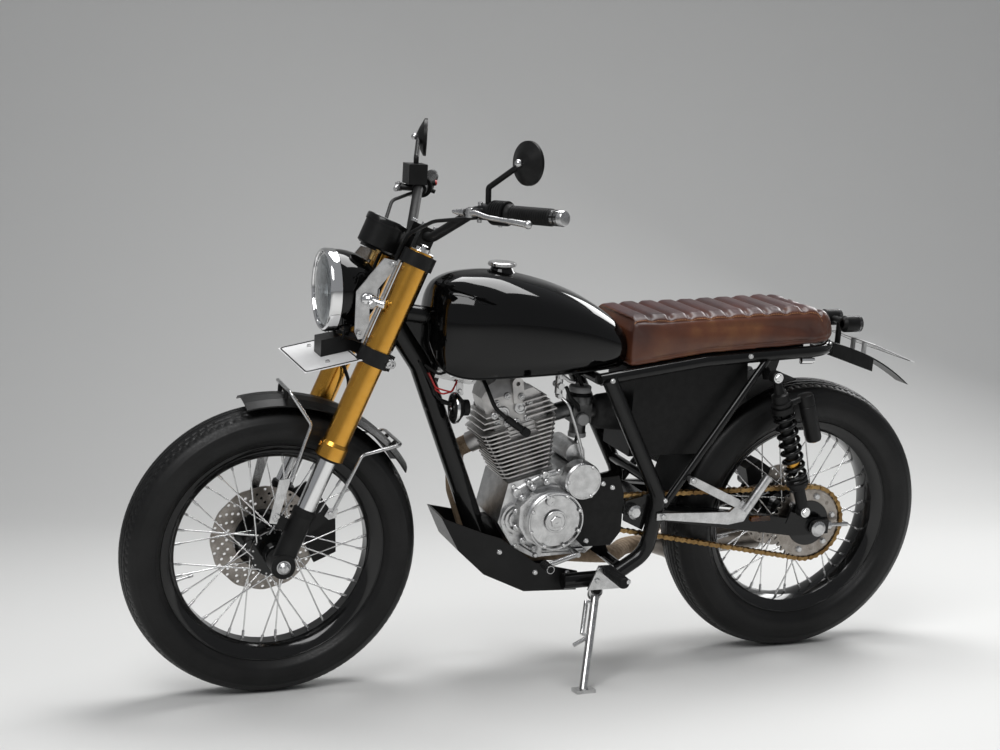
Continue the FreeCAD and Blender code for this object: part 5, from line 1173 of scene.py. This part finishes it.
def case_castings():
    """Raised arcs, bosses and ribs on the crankcase in front of the round cover."""
    shape = Shape()
    for radius in (17, 27, 37):
        outer, inner = [arc(-108, 386, r, 105, 11, 15) for r in (radius + 2.4, radius - 2.4)]
        shape.prism(outer + inner[::-1], -84, -74)
    for a in (98, 122, 146, 170, 196, 222, 248):
        x, z = polar(*ROUND_COVER, 82, a)
        shape.turned([(0, 9), (14, 8), (15, 7)], (x, -CASE_Y, z), -RIGHT, 18)
        shape.bolt((x, -90, z), -RIGHT, 5)
    for x0, z0, x1, z1 in ((-118, 452, -60, 482), (-60, 482, -6, 492), (-96, 330, -60, 306),
                           (-40, 306, 60, 306)):
        shape.pipe([(x0, -76, z0), (x1, -76, z1)], 5, 10)
    for x, z, r in ((-112, 448, 12), (-84, 470, 9), (-46, 488, 10), (-12, 494, 8), (22, 498, 9)):
        shape.turned([(0, r), (9, r - 1), (10, r - 2), (10, r - 5), (6, r - 5), (6, 0)], (x, -CASE_Y, z),
                     -RIGHT, 24)
    shape.piece("case_castings", "cast_aluminium", CHASSIS, sharp=28)


def head_details():
    """Screws, ribs and caps on the rocker cover, and an oil pipe up the cylinder."""
    cover, screws, pipe = Shape(), Shape(), Shape()

    def on_head(spots):
        spots = [on_cylinder(back, 0, up) for back, up in spots]
        return seats("cylinder_head", [(spot.x, spot.z) for spot in spots], least=15)

    for spot, way in on_head([(-52, 222), (-30, 214), (-6, 212), (20, 214), (-58, 244), (-44, 266),
                              (-16, 276), (14, 268), (32, 246)]):
        cover.turned([(-5, 9), (3, 8), (4, 7)], spot, way, 16)
        screws.socket(spot + way * 3.5, way, 6)
    for place, size in (((-34, 240), 16), ((8, 242), 15)):
        for spot, way in on_head([place]):
            cover.turned([(-8, size), (4, size), (5.5, size - 1.5), (5.5, size * 0.66), (3, size * 0.6),
                          (3, 0)], spot, way, 32)
            cover.turned([(3, 5), (8, 5), (8.6, 4.4)], spot, way, 6)
    route = [(56, -66, 500), (42, -74, 540), (20, -77, 600), (2, -74, 648), (-14, -52, 664)]
    pipe.pipe(rounded(route, 24, 7), 3.6, 12)
    for spot in (route[0], route[-1]):
        pipe.turned([(-9, 7), (9, 7)], spot, RIGHT, 6)
    cover.piece("head_castings", "bare_fins", CHASSIS, sharp=28, finish="cast_aluminium")
    screws.piece("head_screws", "bright_steel", CHASSIS)
    pipe.piece("oil_pipe", "bright_steel", CHASSIS)


def inlet_details():
    """Grey caps, float bowl band, hoses and fuel line of the carburettor."""
    caps, hoses = Shape(), Shape()
    caps.turned([(0, 24.6), (2, 26), (12, 26), (14, 24.6), (16, 18), (16, 0)], (60, 0, 660), UP, 40)
    caps.turned([(0, 14), (9, 14), (11, 12), (11, 0)], (60, -23, 600), -RIGHT, 30)
    caps.turned([(-6, 19.6), (-6, 21), (4, 21), (4, 19.6)], (60, 0, 560), UP, 30, looped=True)
    caps.piece("carburettor_caps", "cast_aluminium", CHASSIS, finish="grey_plastic")
    for route, bend, radius in (([(-10, -80, 690), (4, -72, 664), (34, -52, 640), (48, -28, 622)], 20, 4.2),
                                ([(60, -10, 676), (44, -16, 706), (0, -24, 716), (-40, -24, 726)], 26, 4.6),
                                ([(52, -20, 560), (36, -40, 536), (30, -62, 500), (46, -70, 452)], 20, 3.6)):
        hoses.pipe(rounded(route, bend, 7), radius, 12)
    hoses.piece("fuel_hoses", "black_rubber", CHASSIS)


# Front to rear: x, lower edge, top and share of the greatest half width
TANK_HALF = 132.0
TANK_STATIONS = [(-322, 786, 862, 0.30), (-312, 752, 904, 0.52), (-290, 726, 926, 0.70),
                 (-240, 716, 940, 0.90), (-160, 720, 942, 1.0), (-60, 724, 922, 0.98),
                 (30, 728, 890, 0.88), (100, 733, 850, 0.76), (128, 740, 824, 0.66)]
TANK_FLANK = [(0.80, 0), (0.94, 0.16), (1, 0.42), (0.955, 0.64), (0.80, 0.82), (0.46, 0.955), (0, 1)]
SPINE = [(-392, 850), (-150, 812), (64, 713), (140, 678)]
TUNNEL_R = 20.6


def tank():
    """Smooth-skinned tank with a tunnel for the backbone and a rolled lower seam."""
    shape, seam = Shape(), Shape()
    rows, edge = [], []
    for x, low, top, share in soft_line(TANK_STATIONS, 9):
        half = share * TANK_HALF
        flank = soft_line([(wide * half, low + rise * (top - low)) for wide, rise in TANK_FLANK], 6)
        crown = max(min(level(SPINE, x), top - TUNNEL_R - 1), low - TUNNEL_R)
        tunnel = [(y, max(low, z)) for y, z in arc(0, crown, TUNNEL_R, 0, 20, 10)]
        tunnel = [(TUNNEL_R, low)] + tunnel + [(-TUNNEL_R, low)]
        section = flank + [(-y, z) for y, z in flank[-2::-1]] + tunnel[::-1]
        rows.append([Vector((x, y, z)) for y, z in section])
        edge.append((x, TANK_FLANK[0][0] * half, low))
    shape.grid(rows, closed=True, capped=True)
    shape.piece("tank_shell", "tank_black", CHASSIS, ["fuel_tank"], sharp=50)
    for side in SIDES:
        seam.pipe([(x, side * y, z) for x, y, z in edge], 2.2, 8)
    seam.piece("tank_seam", "tank_black", CHASSIS, sharp=60)


def stand_spring():
    """Return spring beside the side stand's leg."""
    pivot, foot = Vector((68, -150, 226)), Vector((-7, -282, 52))
    way = (foot - pivot).normalized()
    ahead = (-BACK + way * BACK.dot(way)).normalized()
    shape = Shape()
    start = pivot + ahead * 19
    spring(shape, start + way * 34, start + way * 96, 4.2, 1.1, 24, 12, 6, ends=1)
    shape.piece("stand_spring_coil", "bright_steel", STAND, sharp=60)


def silencer_ends():
    """Rolled rings and the tip of the silencer."""
    start, way = Vector((352, 150, 228)), Vector((1, 0, 0.04))
    shape = Shape()
    for at in (42, 298):
        shape.turned([(at - 4, 41.2), (at - 3, 43.2), (at + 3, 43.2), (at + 4, 41.2)], start, way, 56)
    shape.turned([(318, 26), (330, 25), (331, 24), (331, 20), (326, 19), (300, 19)], start, way, 48)
    shape.piece("silencer_rings", "dark_steel", CHASSIS, finish="bright_steel")


# Seat

SEAT_HALF = 113.0
SEAT_TOP = [(128.3, 852), (300, 860), (450, 868), (590, 874), (640, 868), (668, 850), (678, 822)]
SEAT_LOW = [(128.3, 735.8), (320, 764.6), (500, 777.4), (660, 788.6), (678, 800)]
SEAT_FRONT, SEAT_REAR = 129, 677
TOP_BEND, LOW_BEND = 22.0, 5
ROLL_PITCH = 49.5
SEAM_Y = 104.0
BASE_BAND = 14
ROLL_DEPTH, CREASE, ROLL_EDGE = 9.0, 7.5, 97
SEAM_DEPTH, BASE_SEAM_DEPTH = 3.2, 2.0
STITCH, STITCH_STEP = 4.2, 6.2
STITCH_START, STITCH_END = 136, 630
ABOVE_SEAT = 950
FABRIC_MESH = 0.0055
MOST_PUFF = 0.004
CLOTH_FRAMES = 20


def seat_rows(inset):
    """Cross-sections of the cushion from front to tail, inside the solid by inset."""
    rows = []
    for x in [129, 132, 140, 160] + list(range(190, 640, 30)) + [646, 658, 668, 674, 677]:
        x = min(max(x, SEAT_FRONT + inset), SEAT_REAR - inset)
        top, low = level(SEAT_TOP, x) - inset, level(SEAT_LOW, x) + inset
        tail = max(0.0, (x - 600) / 78)
        half = SEAT_HALF - inset - 46 * tail ** 2.2 - 12 * exp(-(x - SEAT_FRONT) / 6)
        bend = min(TOP_BEND, 0.45 * (top - low), 0.45 * half)
        section = []
        for y, z, r, first in ((half - bend, top - bend, bend, 0), (-half + bend, top - bend, bend, 90),
                               (-half + LOW_BEND, low + LOW_BEND, LOW_BEND, 180),
                               (half - LOW_BEND, low + LOW_BEND, LOW_BEND, 270)):
            section += arc(y, z, r, first, 15, 7)
        rows.append([Vector((x, y, z)) for y, z in section])
    return rows


def bake(thing):
    """Turn the modifiers' result into the mesh."""
    graph = bpy.context.evaluated_depsgraph_get()
    mesh = bpy.data.meshes.new_from_object(thing.evaluated_get(graph))
    old = thing.data
    thing.modifiers.clear()
    thing.data = mesh
    bpy.data.meshes.remove(old)


def inflate(seat):
    """Short cloth run under pressure; the base stays pinned and the movement is capped."""
    before = [vertex.co.copy() for vertex in seat.data.vertices]
    pinned = seat.vertex_groups.new(name="base")
    for index, point in enumerate(before):
        local = TO_UPRIGHT @ point
        if local.z < level(SEAT_LOW, local.x) + BASE_BAND or local.x < STITCH_START:
            pinned.add([index], 1.0, "REPLACE")
    cloth = seat.modifiers.new("cloth", "CLOTH")
    for name, value in dict(quality=6, mass=0.25, tension_stiffness=25, compression_stiffness=12,
                            bending_stiffness=1.2, vertex_group_mass="base", use_pressure=True,
                            uniform_pressure_force=4.0).items():
        setattr(cloth.settings, name, value)
    cloth.settings.effector_weights.gravity = 0
    cloth.point_cache.frame_start = 1
    cloth.point_cache.frame_end = CLOTH_FRAMES
    for number in range(1, CLOTH_FRAMES + 1):
        bpy.context.scene.frame_set(number)
    bake(seat)
    for vertex, old in zip(seat.data.vertices, before):
        step = vertex.co - old
        if step.length > MOST_PUFF:
            vertex.co = old + step * (MOST_PUFF / step.length)
    bpy.context.scene.frame_set(1)


def shape_rolls(seat):
    """Rolls across the top, the seam round them and a little unevenness."""
    seat.data.update()
    normals = [(TO_UPRIGHT.to_3x3() @ vertex.normal).normalized() for vertex in seat.data.vertices]
    for vertex, normal in zip(seat.data.vertices, normals):
        point = TO_UPRIGHT @ vertex.co
        x, y, z = point
        near_top = max(0.0, min(1.0, (z - level(SEAT_TOP, x) + 34) / 22))
        phase = ((x - 128) / ROLL_PITCH) % 1
        crease = exp(-(min(phase, 1 - phase) * ROLL_PITCH / CREASE) ** 2)
        across = 1 / (1 + exp((abs(y) - ROLL_EDGE) / 2.5))
        over_base = z - level(SEAT_LOW, x) - BASE_BAND
        depth = ROLL_DEPTH * crease * across * near_top * max(0.0, min(1.0, (640 - x) / 12))
        depth += SEAM_DEPTH * exp(-((abs(y) - SEAM_Y + 1) / 2.6) ** 2) * near_top
        depth += BASE_SEAM_DEPTH * exp(-(over_base / 3.0) ** 2) * (1 - near_top)
        puff = sin(x / 31 + y / 17) * sin(z / 23 + x / 57) * (1 - 0.6 * near_top)
        vertex.co = TO_WORLD @ (point + normal * (0.5 * puff - depth))


def cushion():
    """Padded seat blown up as cloth, then stitched into rolls."""
    shape = Shape()
    shape.grid(seat_rows(3.0), closed=True, capped=True)
    seat = shape.piece("seat_cushion", "brown_leather", CHASSIS, ["seat"], sharp=180)
    remesh = seat.modifiers.new("fabric", "REMESH")
    remesh.mode = "VOXEL"
    remesh.voxel_size = FABRIC_MESH
    remesh.use_smooth_shade = True
    bake(seat)
    inflate(seat)
    finer = seat.modifiers.new("finer", "SUBSURF")
    finer.levels = finer.render_levels = 1
    bake(seat)
    shape_rolls(seat)
    shade_smooth(seat.data)
    return seat


def stitches(seat):
    """Thread laid on the leather along both edges of the top."""
    tree = surface_tree(seat.data, TO_UPRIGHT)
    thread = Shape()
    for side in SIDES:
        y = side * (SEAM_Y - 4.5)
        for k in range(int((STITCH_END - STITCH_START) / STITCH_STEP)):
            x = STITCH_START + STITCH_STEP * k
            hits = [tree.ray_cast(Vector((at, y, ABOVE_SEAT)), -UP) for at in (x, x + STITCH)]
            if all(hit[0] for hit in hits):
                start, end = [spot + normal * 0.25 for spot, normal, _, _ in hits]
                thread.pipe([start - UP * 0.4, (start + end) / 2 + UP * 0.7, end - UP * 0.4], 0.75, 5)
    thread.piece("seat_stitches", "brown_leather", CHASSIS, sharp=60, finish="thread")


# Camera, floor and light

CAMERA_FROM_AXLE = Vector((-2.0155, -3.27171, 0.52903))
CAMERA_DIP, CAMERA_TURN = 2.875, -20.91
LENS, SENSOR = 55.10, 36.0
FLOOR_HALF, FLOOR_FRONT, FLOOR_BACK = 14.0, -9.0, 5.0
WALL_BEND, WALL_TOP, BEND_STEPS = 2.5, 7.0, 10


def camera():
    """Camera solved from the two wheels' ellipses in the photograph."""
    data = bpy.data.cameras.new("photo_camera")
    data.lens = LENS
    data.sensor_width = SENSOR
    view = bpy.data.objects.new("photo_camera", data)
    view.location = REAR_AXLE_WORLD + CAMERA_FROM_AXLE
    view.rotation_euler = (radians(90 - CAMERA_DIP), 0, radians(CAMERA_TURN))
    bpy.context.scene.collection.objects.link(view)
    bpy.context.scene.camera = view


def area_light(name, spot, target, size, power, size_y=None):
    data = bpy.data.lights.new(name, "AREA")
    data.energy = power
    data.size = size
    if size_y:
        data.shape = "RECTANGLE"
        data.size_y = size_y
    lamp = bpy.data.objects.new(name, data)
    lamp.location = spot
    lamp.rotation_euler = (Vector(target) - Vector(spot)).to_track_quat("-Z", "Y").to_euler()
    bpy.context.scene.collection.objects.link(lamp)


def studio():
    """Pale floor that bends up into a wall, a grey sky and three soft lights."""
    start = FLOOR_BACK - WALL_BEND
    bend = [pi / 2 * i / BEND_STEPS for i in range(1, BEND_STEPS + 1)]
    rows = [(FLOOR_FRONT, 0.0), (start, 0.0)]
    rows += [(start + WALL_BEND * sin(a), WALL_BEND - WALL_BEND * cos(a)) for a in bend]
    rows += [(FLOOR_BACK, WALL_TOP)]
    points = [(x, y, z) for y, z in rows for x in (-FLOOR_HALF, FLOOR_HALF)]
    mesh = bpy.data.meshes.new("studio_floor")
    mesh.from_pydata(points, [], [(k, k + 1, k + 3, k + 2) for k in range(0, len(points) - 2, 2)])
    shade_smooth(mesh)
    mesh.materials.append(Paint("studio_floor", Base_Color=(0.62, 0.62, 0.61, 1), Roughness=0.75).material)
    floor = bpy.data.objects.new("studio_floor", mesh)
    floor.rotation_euler = (0, 0, radians(CAMERA_TURN))
    bpy.context.scene.collection.objects.link(floor)
    world = bpy.data.worlds.new("studio")
    world.use_nodes = True
    sky = world.node_tree.nodes["Background"]
    sky.inputs["Color"].default_value = (0.5, 0.51, 0.53, 1)
    sky.inputs["Strength"].default_value = 0.55
    bpy.context.scene.world = world
    area_light("key", (-2.2, -2.6, 3.6), (0, 0, 0.5), 2.4, 120)
    area_light("top", (0.4, 0.3, 3.4), (0, 0, 0.5), 2.6, 90, 1.2)
    area_light("rim", (3.0, 1.6, 2.4), (0.2, 0, 0.6), 1.6, 60)


for dress in (dress_nodes, wheels, sprocket_bolts, chain, fork_details, clamp_bolts, axle_details, headlamp,
              plates, tail_lamps, grips, levers, switch_details, mirrors, speedometer, engine_bolts,
              cover_caps, fin_ties, shocks, tank_details, frame_bolts, caliper_bolts, seat_lock, foot_pegs,
              horn_details, wires, stand_spring, silencer_ends, lamp_mounts, case_castings, head_details,
              inlet_details, tank):
    dress()
stitches(cushion())
camera()
studio()
bpy.context.scene.view_settings.view_transform = "Standard"
